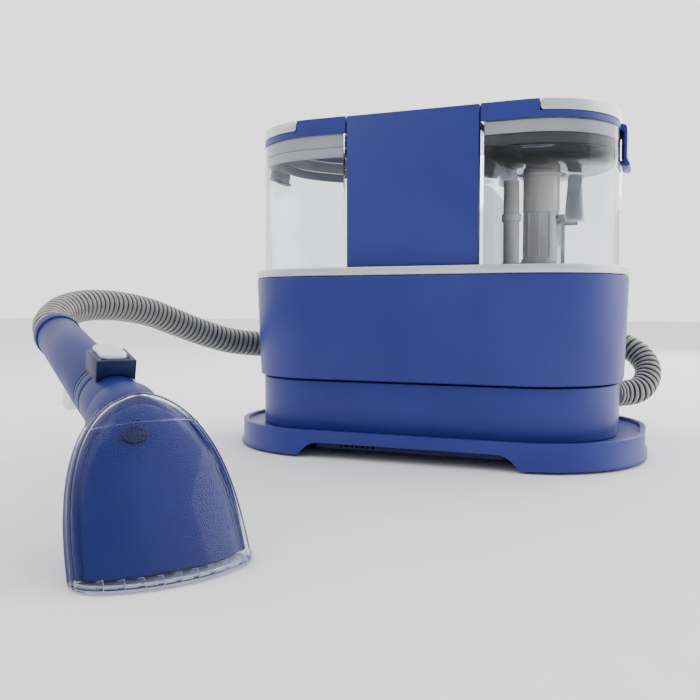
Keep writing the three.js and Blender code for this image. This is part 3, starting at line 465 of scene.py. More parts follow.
panel = block("tower_panel", (-TOWER_HALF, -98, 173.3), (TOWER_HALF, -95.4, TOP))
finished(soften(panel, 0.9), "tower_front_panel")

bar = block("grip_bar", (-47.6, -4, TOP - 20), (47.6, 20, TOP - 0.5))
choose(bar, "EDGE", lambda place, heading: abs(heading.x) > 0.9)
bpy.ops.mesh.bevel(offset=8 * MM, segments=8)
done()
finished(soften(bar, 0.6), "carry_handle", slot="navy_plastic")

button = disc("button_cap", BUTTON_RADIUS, 6, (0, BUTTON_Y, TOP - 1.5))
hollow(button, 2.2, 0.7)
finished(soften(button, 0.5), "power_button", "button", "silver_plastic")
print("tower parts:", tower.name, panel.name, bar.name, button.name)

# %% [markdown]
# A tank is one rounded end of an oblong, cut off square where it meets the tower. So each tank, lid, skirt
# and gasket is the same oblong, moved in by an inset, cut by a bisect, and kept on one side. The clear tank
# is then hollowed from the top, which leaves real walls whose edges catch the light.

# %% Tank outlines
TANK_LENGTH, TANK_DEPTH, TANK_CORNER = 342.8, 196, 74.7
TANK_INNER = 61.7
TANK_BOTTOM, TANK_TOP = 168.8, 293.8
LID_BOTTOM = TANK_TOP + 0.4
SIDES = {"dirty": 1, "clean": -1}
CATCH_LOW, CATCH_HIGH = 266.2, 268.2


def tank_plan(name, side, inset, low, high):
    """The plan of one tank, moved inwards by an inset, as a solid from one level to another."""
    length, depth = TANK_LENGTH - 2 * inset, TANK_DEPTH - 2 * inset
    piece = oblong(name, length, depth, TANK_CORNER - inset, low, high)
    choose(piece, "FACE", lambda place, heading: True)
    edge = at(side * (TANK_INNER + inset), 0, 0)
    bpy.ops.mesh.bisect(plane_co=edge, plane_no=(side, 0, 0), use_fill=True, clear_inner=True)
    bpy.ops.mesh.select_all(action="SELECT")
    bpy.ops.mesh.normals_make_consistent(inside=False)
    done()
    return piece


def pierce(piece, wall):
    """Opens a solid from top to bottom, leaving a wall round it."""
    choose(piece, "FACE", lambda place, heading: abs(heading.z) > 0.95)
    bpy.ops.mesh.inset(thickness=wall * MM)
    bpy.ops.mesh.bridge_edge_loops()
    done()


for key, side in SIDES.items():
    tank = tank_plan(key + "_tank_shell", side, 0, TANK_BOTTOM, TANK_TOP)
    choose(tank, "EDGE", lambda place, heading: place.z < TANK_BOTTOM + 1 and abs(heading.z) < 0.1)
    bpy.ops.mesh.bevel(offset=4 * MM, segments=4)
    done()
    hollow(tank, 2.5, 122)
    near, far = sorted([side * (TANK_LENGTH / 2 - 0.2), side * (TANK_LENGTH / 2 + 1.6)])
    cut(tank, block("catch", (near, -14, CATCH_LOW), (far, 14, CATCH_HIGH)), "UNION")
    finished(soften(tank, 0.45, 2), key + "_tank", key + "_tank_unit", "clear_plastic")
print("tank faces:", len(tank.data.polygons))

# %% [markdown]
# The lid is a blue cap. A step round its end takes the silver carrying bail, which lies flush with the top
# and turns up on two pivots. The bail's own shape, a little larger, is subtracted from the cap to make the
# step. Below the cap, a frosted skirt and a soft gasket plug the tank's mouth.

# %% Lids and carrying bails
BAIL_HEIGHT, BAIL_WIDTH = 9, 8
BAIL_INNER = 111.3
STEP_MARGIN = 3


def bail_shape(name, side, spare):
    """The bail, or with some spare size the step that takes it."""
    low = TOP - BAIL_HEIGHT - spare
    margin = STEP_MARGIN if spare else 0
    piece = tank_plan(name, side, -margin, low, TOP + 3 * spare)
    pierce(piece, BAIL_WIDTH + margin + spare)
    choose(piece, "FACE", lambda place, heading: True)
    edge = at(side * (BAIL_INNER - spare), 0, 0)
    bpy.ops.mesh.bisect(plane_co=edge, plane_no=(side, 0, 0), use_fill=True, clear_inner=True)
    bpy.ops.mesh.select_all(action="SELECT")
    bpy.ops.mesh.normals_make_consistent(inside=False)
    done()
    return piece


def at_bail_tip(place, heading):
    return abs(heading.y) > 0.9 and abs(place.x) < BAIL_INNER + 0.2 and abs(place.y) > 80


for key, side in SIDES.items():
    cap = tank_plan(key + "_cap", side, 0, LID_BOTTOM, TOP)
    cut(cap, bail_shape("step", side, 0.8))
    for end in (-1, 1):
        ys = sorted([end * 84, end * 99])
        xs = sorted([side * 110.5, side * 121.3])
        cut(cap, block("pivot_room", (xs[0], ys[0], TOP - 9.8), (xs[1], ys[1], TOP + 1)))
    xs = sorted([side * 166.4, side * 176.4])
    cut(cap, block("latch_room", (xs[0], -22, LID_BOTTOM - 1), (xs[1], 22, LID_BOTTOM + 6.6)))
    finished(soften(cap, 0.7), key + "_lid", key + "_lid_unit")

    bail = bail_shape(key + "_bail_strip", side, 0)
    choose(bail, "EDGE", at_bail_tip)
    bpy.ops.mesh.bevel(offset=3 * MM, segments=6)
    done()
    finished(soften(bail, 0.9), key + "_bail", key + "_bail_unit", "silver_plastic")
print("lid and bail faces:", len(cap.data.polygons), len(bail.data.polygons))

# %% Skirts, gaskets and splash dish
PLUG_INSET = 2.9
for key, side in SIDES.items():
    skirt = tank_plan(key + "_skirt_wall", side, PLUG_INSET, 282.7, 293.4)
    pierce(skirt, 2.6)
    finished(soften(skirt, 0.5), key + "_lid_skirt", key + "_lid_unit", "frosted_plastic")
    gasket = tank_plan(key + "_gasket", side, PLUG_INSET, 273.3, 282.3)
    pierce(gasket, 3.4)
    seal = "seal_rubber" if key == "dirty" else "pale_seal"
    finished(soften(gasket, 1.5, 4), key + "_lid_seal", key + "_lid_unit", seal)

RISER_PLACE = (99, 10)
BOWL_MIDDLE = (116, 0, 0)
DISH_TOP = 272.9
dish = tank_plan("splash_dish_bowl", 1, 3.9, 270, DISH_TOP)
for drop, share in ((3, 0.985), (3, 0.96), (2.5, 0.91), (2, 0.82)):
    choose(dish, "FACE", facing(2, -1))
    extrude(0, 0, -drop)
    scale_flat(share, share, BOWL_MIDDLE)
    done()
hollow(dish, 2, 1)
choose(dish, "FACE", lambda place, heading: heading.z > 0.95 and place.z < DISH_TOP - 0.4)
for drop, share in ((3, 0.985), (3, 0.96), (2.5, 0.91), (1, 0.82)):
    extrude(0, 0, -drop)
    scale_flat(share, share, BOWL_MIDDLE)
done()
cut(dish, disc("air_hole", 23, 40, (*RISER_PLACE, 262), 48))
finished(soften(dish, 0.4, 2, 40), "splash_dish", "dirty_lid_unit", "smoke_plastic")
print("dish faces:", len(dish.data.polygons))

# %% [markdown]
# Round pieces are turned, as on a lathe. A circle is added, then its edge is extruded and scaled again and
# again along a profile of radii and heights, until it meets its own start. `where` lays the finished piece
# along an axis, so the handle's parts can be drawn upright and then leaned over.

# %% Turned pieces
def turned(name, profile, where, sides=56):
    """A ring-shaped solid from a closed profile of (radius, height) in millimetres."""
    bpy.ops.object.select_all(action="DESELECT")
    radius, height = profile[0]
    bpy.ops.mesh.primitive_circle_add(vertices=sides, radius=radius * MM, location=(0, 0, height * MM))
    piece = settle(name)
    activate(piece)
    bpy.ops.object.mode_set(mode="EDIT")
    bpy.ops.mesh.select_all(action="SELECT")
    for new_radius, new_height in [*profile[1:], profile[0]]:
        bpy.ops.mesh.extrude_edges_move(TRANSFORM_OT_translate={"value": (0, 0, (new_height - height) * MM)})
        share = new_radius / radius
        bpy.ops.transform.resize(value=(share, share, 1), center_override=(0, 0, 0))
        radius, height = new_radius, new_height
    bpy.ops.mesh.select_all(action="SELECT")
    bpy.ops.mesh.remove_doubles(threshold=0.02 * MM)
    bpy.ops.mesh.normals_make_consistent(inside=False)
    done()
    piece.data.transform(Matrix.Translation(centre) @ where)
    return piece


def upright(x, y, z=0):
    return Matrix.Translation(Vector((x, y, z)) * MM)


def merge_all(name, parts, width, body, slot):
    """Joins separate solids into one visible piece."""
    activate(parts[0])
    for part in parts:
        part.select_set(True)
    bpy.ops.object.join()
    parts[0].name = parts[0].data.name = name
    return finished(soften(parts[0], width, 2), [], body, slot)


RISER_BASE = 175.6
RISER_RADIUS = 16.4
riser_outside = [(19, 0), (19, 4), (RISER_RADIUS, 8), (16, 49), (17.2, 49), (17.2, 94)]
riser_bore = [(14.2, 94), (14.2, 52), (14.2, 8), (12.2, 0)]
riser_profile = [riser_bore[-1], *riser_outside, *riser_bore[:-1]]
riser = turned("riser_column", riser_profile, upright(*RISER_PLACE, RISER_BASE))
finished(soften(riser, 0.4, 2), "riser_tube", "dirty_tank_unit", "frosted_clear")
ring_profile = [(16.8, 0), (17.8, 0.5), (17.8, 1.4), (16.8, 1.9)]
ribs = []
RIB_COUNT = 10
for k in range(RIB_COUNT):
    angle = 2 * math.pi * (k + 0.5) / RIB_COUNT
    x, y = RISER_PLACE[0] + RISER_RADIUS * math.cos(angle), RISER_PLACE[1] + RISER_RADIUS * math.sin(angle)
    rib = block("rib", (x - 0.9, y - 0.9, RISER_BASE + 8), (x + 0.9, y + 0.9, RISER_BASE + 48.5))
    choose(rib, "EDGE", lambda place, heading: abs(heading.z) > 0.9)
    bpy.ops.mesh.bevel(offset=0.5 * MM, segments=2)
    done()
    ribs.append(rib)
for level in range(4):
    ribs.append(turned("ring", ring_profile, upright(*RISER_PLACE, RISER_BASE + 80 + 3.2 * level)))
merge_all("riser_ribs", ribs, 0, "dirty_tank_unit", "frosted_clear")

funnel = turned(
    "separator_bell",
    [(8.6, 0), (10, 0), (10, 1.2), (9.7, 1.6), (6.4, 42), (5.2, 42)],
    upright(129, 20, 216.5),
)
finished(soften(funnel, 0.3, 2), "separator_cone", "dirty_lid_unit", "thick_clear")
FLOAT_PLACE = (74, -10)
sleeve_foot = [(6.2, 0), (8.4, 0), (8.4, 2), (7.4, 3)]
sleeve_clip = [(7.4, 40), (8.8, 40.6), (8.8, 47), (7.4, 47.6)]
sleeve_top = [(7, 78), (6.2, 78)]
guide = turned("float_sleeve", [*sleeve_foot, *sleeve_clip, *sleeve_top], upright(*FLOAT_PLACE, RISER_BASE))
finished(soften(guide, 0.3, 2), "float_guide", "dirty_tank_unit", "frosted_clear")
bob_profile = [(0.4, 1), (4.4, 1), (5.2, 3), (5.2, 20), (4.2, 23), (0.4, 23)]
bob = turned("float_bob", bob_profile, upright(*FLOAT_PLACE, RISER_BASE))
finished(soften(bob, 0.6), "float", "float_unit", "white_plastic")
bpy.ops.object.select_all(action="DESELECT")
plate_middle = at(RISER_PLACE[0], 0, RISER_BASE - 1.9)
bpy.ops.mesh.primitive_cylinder_add(vertices=72, radius=1, depth=3 * MM, location=plate_middle)
bpy.context.object.scale = (33 * MM, 46 * MM, 1)
plate = settle("riser_plate")
hollow(plate, 2.4, 1)
finished(soften(plate, 0.5), "riser_foot", "dirty_tank_unit", "frosted_plastic")

# %% [markdown]
# In front of the riser stands a clear rod, bent over at its top like a walking stick, with a short pin to one
# side. It is spun: a small disc is extruded upwards, then spun through most of a right angle about the middle
# of the bend.

# %% Hooked rod
bpy.ops.object.select_all(action="DESELECT")
ROD_X, ROD_Y, ROD_HEIGHT = 121, -24, 44
rod_foot = at(ROD_X, ROD_Y, RISER_BASE)
bpy.ops.mesh.primitive_circle_add(vertices=28, radius=4 * MM, fill_type="NGON", location=rod_foot)
rod = settle("hooked_rod")
choose(rod, "FACE", lambda place, heading: True)
extrude(0, 0, ROD_HEIGHT)
bend_middle = at(ROD_X - 5, ROD_Y, RISER_BASE + ROD_HEIGHT)
bpy.ops.mesh.spin(steps=12, angle=-math.radians(80), center=bend_middle, axis=(0, 1, 0))
bpy.ops.mesh.select_all(action="SELECT")
bpy.ops.mesh.remove_doubles(threshold=0.01 * MM)
bpy.ops.mesh.normals_make_consistent(inside=False)
done()
pin = block("rod_pin", (124, -25.6, RISER_BASE + 34), (136, -22.4, RISER_BASE + 40))
choose(pin, "EDGE", lambda place, heading: abs(heading.x) > 0.9)
bpy.ops.mesh.bevel(offset=1 * MM, segments=3)
done()
merge_all("rod_and_pin", [rod, pin], 0.3, "dirty_tank_unit", "thick_clear")
print("tank insides:", riser.name, funnel.name, guide.name, plate.name)

# %% [markdown]
# Many small mouldings already have the right shape and only lack rounded edges: hooks, latches, the trigger,
# the thumb paddle and its housing. Each is copied from the frame, its loose triangles are merged back into
# flat faces, and its edges are rounded. The designed part itself stays as it is, only hidden. A dark navy
# plate of painted shade fills the slot between each latch's blade and its tank, just above the tank's catch.

# %% Small mouldings with rounded edges
def rounded_copy(node, body, slot, width, segments=3):
    source = bpy.data.objects[node]
    piece = bpy.data.objects.new(node + "_moulding", source.data.copy())
    piece.data.name = piece.name
    bpy.context.collection.objects.link(piece)
    choose(piece, "FACE", lambda place, heading: True)
    bpy.ops.mesh.remove_doubles(threshold=0.01 * MM)
    bpy.ops.mesh.dissolve_limited(angle_limit=math.radians(3))
    done()
    return finished(soften(piece, width, segments), node, body, slot)


for node, body, slot, width in (
    ("hose_hook_left", "machine", "navy_plastic", 0.9),
    ("hose_hook_right", "machine", "navy_plastic", 0.9),
    ("hose_port", "machine", "navy_plastic", 0.6),
    ("hose_cuff", "machine", "navy_plastic", 0.6),
    ("exhaust_grille", "machine", "black_plastic", 0.4),
    ("cord_gland", "machine", "seal_rubber", 0.6),
    ("base_vent", "machine", "navy_plastic", 0.3),
    ("dirty_latch", "dirty_latch_unit", "blue_plastic", 0.8),
    ("clean_latch", "clean_latch_unit", "blue_plastic", 0.8),
    ("spray_trigger", "trigger_unit", "white_plastic", 1.4),
    ("latch_housing", "handset", "navy_plastic", 2.2),
    ("release_latch", "thumb_latch_unit", "silver_plastic", 1.6),
):
    rounded_copy(node, body, slot, width)
# Painted shade: a dark plate in each latch's slot, standing in for the shadow there.
SHADE_PLATE_NEAR, SHADE_PLATE_FAR, SHADE_PLATE_TOP = 172, 174.3, 291
for key, side in SIDES.items():
    xs = sorted([side * SHADE_PLATE_NEAR, side * SHADE_PLATE_FAR])
    shade_plate = block(key + "_latch_slot_shade", (xs[0], -18, CATCH_HIGH + 1.3), (xs[1], 18, SHADE_PLATE_TOP))
    finished(soften(shade_plate, 0.4), [], key + "_latch_unit", "navy_plastic")
print("small mouldings:", len(made))

# %% [markdown]
# The handle is turned about its own axis, which rises from the mouthpiece to the hose. A collar caps it and
# a short neck joins it to the mouthpiece. Fine grooves where they meet are modelled, because a seam that only
# changes colour looks painted on.

# %% Handle
hand_tool = Matrix.Translation(tool_origin * MM) @ Matrix.Rotation(tool_turn, 4, "Z")
handle_foot = Matrix.Translation(Vector((0, 33, 63)) * MM)
along_handle = hand_tool @ handle_foot @ Matrix.Rotation(tool_rise - math.pi / 2, 4, "X")
NECK_END, TUBE_TOP = 75, 204
NECK_RADIUS, HANDLE_TAPER = 19, 3.3


def handle_radius(t):
    """The handle's outside: even up to the neck's end, then slimmer towards the hose."""
    return NECK_RADIUS - HANDLE_TAPER * max(0.0, t - NECK_END) / (HANDLE_LENGTH - NECK_END)


tube = turned(
    "handle_tube",
    [
        (16, NECK_END + 0.4),
        (handle_radius(NECK_END), NECK_END + 0.4),
        (handle_radius(NECK_END + 4), NECK_END + 4),
        (handle_radius(NECK_END + 4) - 0.7, NECK_END + 4.4),
        (handle_radius(NECK_END + 4) - 0.7, NECK_END + 5.2),
        (handle_radius(NECK_END + 6), NECK_END + 5.6),
        (handle_radius(140), 140),
        (handle_radius(TUBE_TOP), TUBE_TOP - 0.4),
        (12.7, TUBE_TOP - 0.4),
    ],
    along_handle,
    72,
)
slot_tool = block("slot_cut", (0, 0, 0), (11, 26, 33))
slot_tool.data.transform(
    Matrix.Translation(centre)
    @ along_handle
    @ Matrix.Translation(Vector((-5.5, 4, 143)) * MM)
    @ Matrix.Translation(-centre)
)
cut(tube, slot_tool)
finished(soften(tube, 0.3, 2), "handle_grip", "handset", "tool_blue")
ring_outside = [(11, TUBE_TOP), (17, TUBE_TOP), (17, 213.5), (16.4, 215)]
ring_mouth = [(15.4, HANDLE_LENGTH), (14.3, HANDLE_LENGTH), (14.3, 214.5), (11, 214.5)]
collar = turned("handle_ring", [*ring_outside, *ring_mouth], along_handle, 72)
finished(soften(collar, 0.3, 2), "handle_collar", "handset", "tool_blue")
neck_groove = [(NECK_RADIUS, 66), (18.4, 66.5), (18.4, 67.3), (NECK_RADIUS, 67.8)]
neck_profile = [(16, 26), (NECK_RADIUS, 26), *neck_groove, (NECK_RADIUS, NECK_END), (16, NECK_END)]
neck = turned("nozzle_throat", neck_profile, along_handle, 72)
finished(soften(neck, 0.3, 2), "nozzle_neck", "nozzle_unit", "tool_blue")
print("handle parts:", tube.name, collar.name, neck.name)

# %% [markdown]
# The mouthpiece is bell-shaped and leans back over its mouth. A clear cover stands over a blue body, and the
# gap between them is the suction channel. Both come from one recipe: a grid is added, and each of its points
# is moved to its place on the bell, wide at the mouth, rounded to the top and bulging out in the middle.

# %% Bell surface
LEAN = math.radians(27)
in_bell = hand_tool @ Matrix.Rotation(math.pi / 2 - LEAN, 4, "X")
BELL_WIDTH, BELL_HEIGHT, BELL_BULGE = 95, 99, 21.5


def bell_half(s, inset):
    share = min(max(s, 0) / (BELL_HEIGHT - inset), 0.999)
    return (BELL_WIDTH / 2 - inset) * math.sqrt(1 - share**2.6)


def bell_point(across, share, inset, bulge, base, lift):
    """A point of the bell, from -1 to 1 across it and 0 to 1 up it, in its own millimetres."""
    out = base + bulge * math.sqrt(max(0, 1 - across**2) * (1 - 0.96 * share**3))
    floor_line = lift - out * math.tan(LEAN)
    s = floor_line + (BELL_HEIGHT - inset - floor_line) * share
    return Vector((across * bell_half(s, inset), s, out))


def bell_grid(name, inset, bulge, base, lift, columns=64, rows=44):
    bpy.ops.object.select_all(action="DESELECT")
    bpy.ops.mesh.primitive_grid_add(x_subdivisions=columns, y_subdivisions=rows, size=2)
    piece = settle(name)
    for vertex in piece.data.vertices:
        across = math.sin(vertex.co.x * math.pi / 2)
        share = math.sin((vertex.co.y + 1) * math.pi / 4) * 0.992
        vertex.co = bell_point(across, share, inset, bulge, base, lift) * MM
    return piece


def rim_of(piece):
    """Selects the open edge of a sheet."""
    activate(piece)
    bpy.ops.object.mode_set(mode="EDIT")
    bpy.ops.mesh.select_mode(type="EDGE")
    bpy.ops.mesh.select_all(action="DESELECT")
    bpy.ops.mesh.select_non_manifold()


def close_back(piece, depth):
    """Extrudes the open edge backwards and closes it with a flat face."""
    rim_of(piece)
    bpy.ops.mesh.extrude_edges_move(TRANSFORM_OT_translate={"value": (0, 0, -depth * MM)})
    bpy.ops.mesh.edge_face_add()
    bpy.ops.mesh.select_all(action="SELECT")
    bpy.ops.mesh.normals_make_consistent(inside=False)
    done()


def into_bell(piece):
    piece.data.transform(Matrix.Translation(centre) @ in_bell)
    return piece


print("bell top at", [round(v) for v in bell_point(0, 1, 0, BELL_BULGE, 0, 0)])

# %% Clear cover and blue body
cover = bell_grid("clear_hood", 0, BELL_BULGE, 0.5, 1)
choose(cover, "FACE", lambda place, heading: True)
bpy.ops.mesh.normals_make_consistent(inside=False)
done()
modify(cover, "SOLIDIFY", thickness=2.3 * MM, offset=-1, use_even_offset=True)
into_bell(cover)
finished(soften(cover, 0.5, 2, 50), "nozzle_cover", "nozzle_unit", "blue_tinted_clear")

body = bell_grid("blue_shell", 6.4, 12.1, 0.2, 5)
close_back(body, 9)
into_bell(body)
flange = bell_grid("back_plate", 0.2, 0.01, 0, 4.7)
close_back(flange, 9)
into_bell(flange)
socket = turned("socket_ring", [(19.4, 16), (22.2, 16), (22.2, 38), (21.4, 40), (19.4, 40)], along_handle, 72)
finished(soften(body, 1.2, 3, 45), "nozzle_body", "nozzle_unit", "tool_blue")
finished(soften(flange, 1.0, 3, 45), [], "nozzle_unit", "tool_blue")
finished(soften(socket, 0.4, 2), [], "nozzle_unit", "tool_blue")
print("mouthpiece faces:", len(cover.data.polygons), len(body.data.polygons))

# %% [markdown]
# Details of the mouthpiece: a bright bead all round the clear cover, where its rim is thickened, a cross seam
# near the top, and a spray jet on the body. Under the blue body the cover's lip carries a row of short combs
# that ruffle the pile. Each follows the same bell points, so it stays on the surface.

# %% Rim bead, cross seam, jet and comb
def bell_cord(name, points, radius, slot):
    """A smooth bead of round section along points of the bell."""
    count = len(points)
    curve = bpy.data.curves.new(name, "CURVE")
    curve.dimensions = "3D"
    curve.bevel_depth = radius * MM
    curve.bevel_resolution = 3
    curve.use_fill_caps = True
    spline = curve.splines.new("POLY")
    spline.points.add(count - 1)
    for point, place in zip(spline.points, points):
        point.co = (*(place * MM), 1)
    piece = bpy.data.objects.new(name, curve)
    bpy.context.collection.objects.link(piece)
    activate(piece)
    bpy.ops.object.convert(target="MESH")
    into_bell(piece)
    return finished(soften(piece, 0), [], "nozzle_unit", slot)


def across_line(steps, reach, share, lift, base):
    """Points from one side of the cover to the other at one height, closer together towards its edges."""
    turns = [(k / steps - 1) * math.pi / 2 * reach for k in range(2 * steps + 1)]
    return [bell_point(math.sin(turn), share, 0, BELL_BULGE, base, lift) for turn in turns]


def rim_line(inset, bulge, base, lift, steps=60):
    """Points up the cover's left edge, over its top and down its right edge."""
    shares = [math.sin(k / steps * math.pi / 2) * 0.992 for k in range(steps)]
    left = [bell_point(-1, share, inset, bulge, base, lift) for share in shares]
    right = [Vector((-p.x, p.y, p.z)) for p in reversed(left)]
    return left + right


bell_cord("cover_bead", rim_line(-0.2, 0, -0.4, 1), 1.15, "clear_plastic")
mouth = across_line(30, 1, 0.006, 1, 0.5)
bell_cord("mouth_bead", [p + Vector((0, 2.0, -1.1)) for p in mouth], 1.3, "clear_plastic")
seam = across_line(20, 0.94, 0.80, 1, 0.6)
bell_cord("cross_seam", seam, 0.45, "clear_plastic")

bpy.ops.object.select_all(action="DESELECT")
bpy.ops.mesh.primitive_cylinder_add(vertices=48, radius=1, depth=2 * MM, location=(-8 * MM, 72 * MM, 0))
bpy.context.object.scale = (7 * MM, 4.5 * MM, 1)
jet = settle("jet_cap")
jet.data.transform(Matrix.Translation((0, 0, 10.7 * MM)))
into_bell(jet)
finished(soften(jet, 0.5), "spray_jet", "nozzle_unit", "navy_plastic")

comb = []
for k in range(9):
    across = (k - 4) / 4 * 0.82
    root = bell_point(across, 0.0, 3.2, BELL_BULGE - 4.4, 0.5, 1.6)
    tooth = block("comb_tooth_%d" % (k + 1), (0, 0, 0), (3.4, 4.2, 2.0))
    tooth.data.transform(Matrix.Translation(-centre))
    tooth.data.transform(Matrix.Translation(root * MM - Vector((1.7, 0, 1.0)) * MM))
    into_bell(tooth)
    comb.append(tooth)
merge_all("pile_comb", comb, 0.5, "nozzle_unit", "clear_plastic")
print("mouthpiece details:", [piece.name for piece in made[-5:]])

# %% [markdown]
# Finishes. Each material begins as what the part is really made of. Colours are written as sRGB hex values,
# and one function turns them to the linear values that Blender wants. One more adds a node with its settings
# and links.

# %% Colour and node helpers
def linear(hex_code):
    channels = [int(hex_code[i : i + 2], 16) / 255 for i in (1, 3, 5)]
    values = [c / 12.92 if c <= 0.04045 else ((c + 0.055) / 1.055) ** 2.4 for c in channels]
    return (*values, 1)


def node(material, kind, settings=None, links=None):
    added = material.node_tree.nodes.new(kind)
    for key, value in (settings or {}).items():
        if isinstance(key, int) or key in added.inputs:
            added.inputs[key].default_value = value
        else:
            setattr(added, key, value)
    for key, source in (links or {}).items():
        material.node_tree.links.new(source, added.inputs[key])
    return added


def surface(name, roughness, metallic=0.0, ior=1.5, **more):
    """A new material, its Principled shader, and the Object coordinates that patterns read."""
    material = bpy.data.materials.new(name)
    material.use_nodes = True
    shader = material.node_tree.nodes["Principled BSDF"]
    shader.inputs["Roughness"].default_value = roughness
    shader.inputs["Metallic"].default_value = metallic
    shader.inputs["IOR"].default_value = ior
    for key, value in more.items():
        shader.inputs[key.replace("_", " ")].default_value = value
    place = node(material, "ShaderNodeTexCoord").outputs["Object"]
    return material, shader, place


def join(material, source, shader, socket):
    material.node_tree.links.new(source, shader.inputs[socket])


def two_tone(material, factor, dark, light, low=0.3, high=0.7):
    """Blends two colours by a pattern, between two of its levels."""
    ramp = node(material, "ShaderNodeValToRGB", links={"Fac": factor})
    ramp.color_ramp.elements[0].position = low
    ramp.color_ramp.elements[1].position = high
    ramp.color_ramp.elements[0].color = linear(dark)
    ramp.color_ramp.elements[1].color = linear(light)
    return ramp.outputs["Color"]


def per_mm(size):
    """A noise scale whose features are about this many millimetres across."""
    return 1000 / size


def spread(material, factor, low, high):
    """Maps a pattern onto a range of roughness."""
    ranged = node(
        material,
        "ShaderNodeMapRange",
        {"From Min": 0.3, "From Max": 0.7, "To Min": low, "To Max": high},
        {"Value": factor},
    )
    return ranged.outputs["Result"]


materials = {}


def moulded(slot, name, dark, light, roughness, grain, relief, metallic=0.0, patch=60, **more):
    """A moulded surface: fine grain that scatters light, and slow changes of gloss and tone over it."""
    material, shader, place = surface(name, roughness, metallic, **more)
    slow = node(material, "ShaderNodeTexNoise", {"Scale": per_mm(patch), "Detail": 2.0}, {"Vector": place})
    fine = node(material, "ShaderNodeTexNoise", {"Scale": per_mm(grain), "Detail": 4.0}, {"Vector": place})
    bump = node(
        material,
        "ShaderNodeBump",
        {"Strength": relief, "Distance": 0.1 * MM},
        {"Height": fine.outputs["Fac"]},
    )
    join(material, two_tone(material, slow.outputs["Fac"], dark, light), shader, "Base Color")
    gloss = spread(material, slow.outputs["Fac"], roughness * 0.88, roughness * 1.12)
    join(material, gloss, shader, "Roughness")
    join(material, bump.outputs["Normal"], shader, "Normal")
    materials[slot] = material
    return shader


print("per mm, 0.5:", per_mm(0.5))

# %% Opaque plastics and rubbers
# Satin ABS, moulded against a finely etched tool: a soft, even shine without sharp reflections.
moulded("blue_plastic", "satin_blue_abs", "#272f7a", "#2b3483", 0.4, 0.35, 0.035, Specular_IOR_Level=0.3)
# The hand tool's ABS is a darker blue and almost without grain.
moulded("tool_blue", "satin_blue_tool_abs", "#1e2866", "#232e70", 0.42, 0.35, 0.004, Specular_IOR_Level=0.14)
# Navy ABS with a coarser etch that holds less shine.
moulded("navy_plastic", "etched_navy_abs", "#0b1240", "#0e1648", 0.45, 0.4, 0.08, Specular_IOR_Level=0.25)
# ABS sprayed with fine aluminium paint, which glitters a little.
moulded("silver_plastic", "aluminium_paint_on_abs", "#c4c7cd", "#d4d6da", 0.28, 0.35, 0.06, 0.55)
# White ABS, slightly glossy.
moulded("white_plastic", "gloss_white_abs", "#dcdcdc", "#ececeb", 0.32, 0.8, 0.05)
# Glass-filled nylon: black, dry and slightly mottled.
moulded("black_plastic", "glass_filled_nylon", "#17181b", "#212226", 0.6, 0.7, 0.35)
# Silicone gaskets: one dark and one pale, with a soft bloom on them.
moulded("seal_rubber", "grey_silicone_gasket", "#2b2d33", "#373a40", 0.62, 0.5, 0.2)
moulded("pale_seal", "pale_silicone_gasket", "#b0b2b7", "#bfc1c6", 0.55, 0.5, 0.1)
# Thermoplastic rubber feet, with a pebbled skin.
moulded("foot_rubber", "pebbled_foot_rubber", "#141416", "#1e1e21", 0.8, 0.9, 0.6)
# Zinc-plated pressed steel.
moulded("steel", "zinc_plated_steel", "#a3a6aa", "#c2c4c6", 0.35, 2.5, 0.08, 1.0)
# Polypropylene left clouded by a matt tool, so that it glows instead of shining.
frosted_shader = moulded("frosted_plastic", "frosted_polypropylene", "#b4b6bb", "#c6c8cc", 0.4, 0.6, 0.15)
frosted_shader.inputs["Alpha"].default_value = 0.86
print("opaque finishes:", sorted(materials))

# %% [markdown]
# Clear polycarbonate is seen mostly by its edges: face on it is nearly invisible, and where a wall turns
# away it mirrors more light. Transmission gives that, with a low index so that thin walls stay quiet, and a
# clear coat adds the shine. `bend` is the index and `clarity` the share of light let through. A faint flow
# pattern keeps the shine from being perfectly even.

# %% Clear plastics and the hose's vinyl
def see_through(slot, name, dark, light, roughness, bend, clarity=1.0, coat=0.2):
    material, shader, place = surface(name, roughness, ior=bend)
    flow = node(material, "ShaderNodeTexNoise", {"Scale": per_mm(45), "Detail": 3.0}, {"Vector": place})
    wave = {"Strength": 0.02, "Distance": 1 * MM}
    bump = node(material, "ShaderNodeBump", wave, {"Height": flow.outputs["Fac"]})
    shader.inputs["Transmission Weight"].default_value = clarity
    shader.inputs["Coat Weight"].default_value = coat
    shader.inputs["Coat Roughness"].default_value = 0.06
    shader.inputs["Coat IOR"].default_value = 1.5
    join(material, two_tone(material, flow.outputs["Fac"], dark, light), shader, "Base Color")
    join(material, bump.outputs["Normal"], shader, "Normal")
    materials[slot] = material


see_through("clear_plastic", "clear_polycarbonate", "#eff1f6", "#fafbfd", 0.02, 1.13)
see_through("blue_tinted_clear", "blue_tinted_polycarbonate", "#e4e8fb", "#f1f3ff", 0.06, 1.14, 1.0, 0.12)
see_through("frosted_clear", "frosted_polypropylene_tube", "#dedbd3", "#efede7", 0.14, 1.4, 0.25, 0.6)
see_through("thick_clear", "thick_clear_polycarbonate", "#a9adb4", "#babec4", 0.04, 1.4, 0.75, 0.6)
see_through("smoke_plastic", "smoky_polycarbonate", "#4c5058", "#5c6068", 0.05, 1.12)
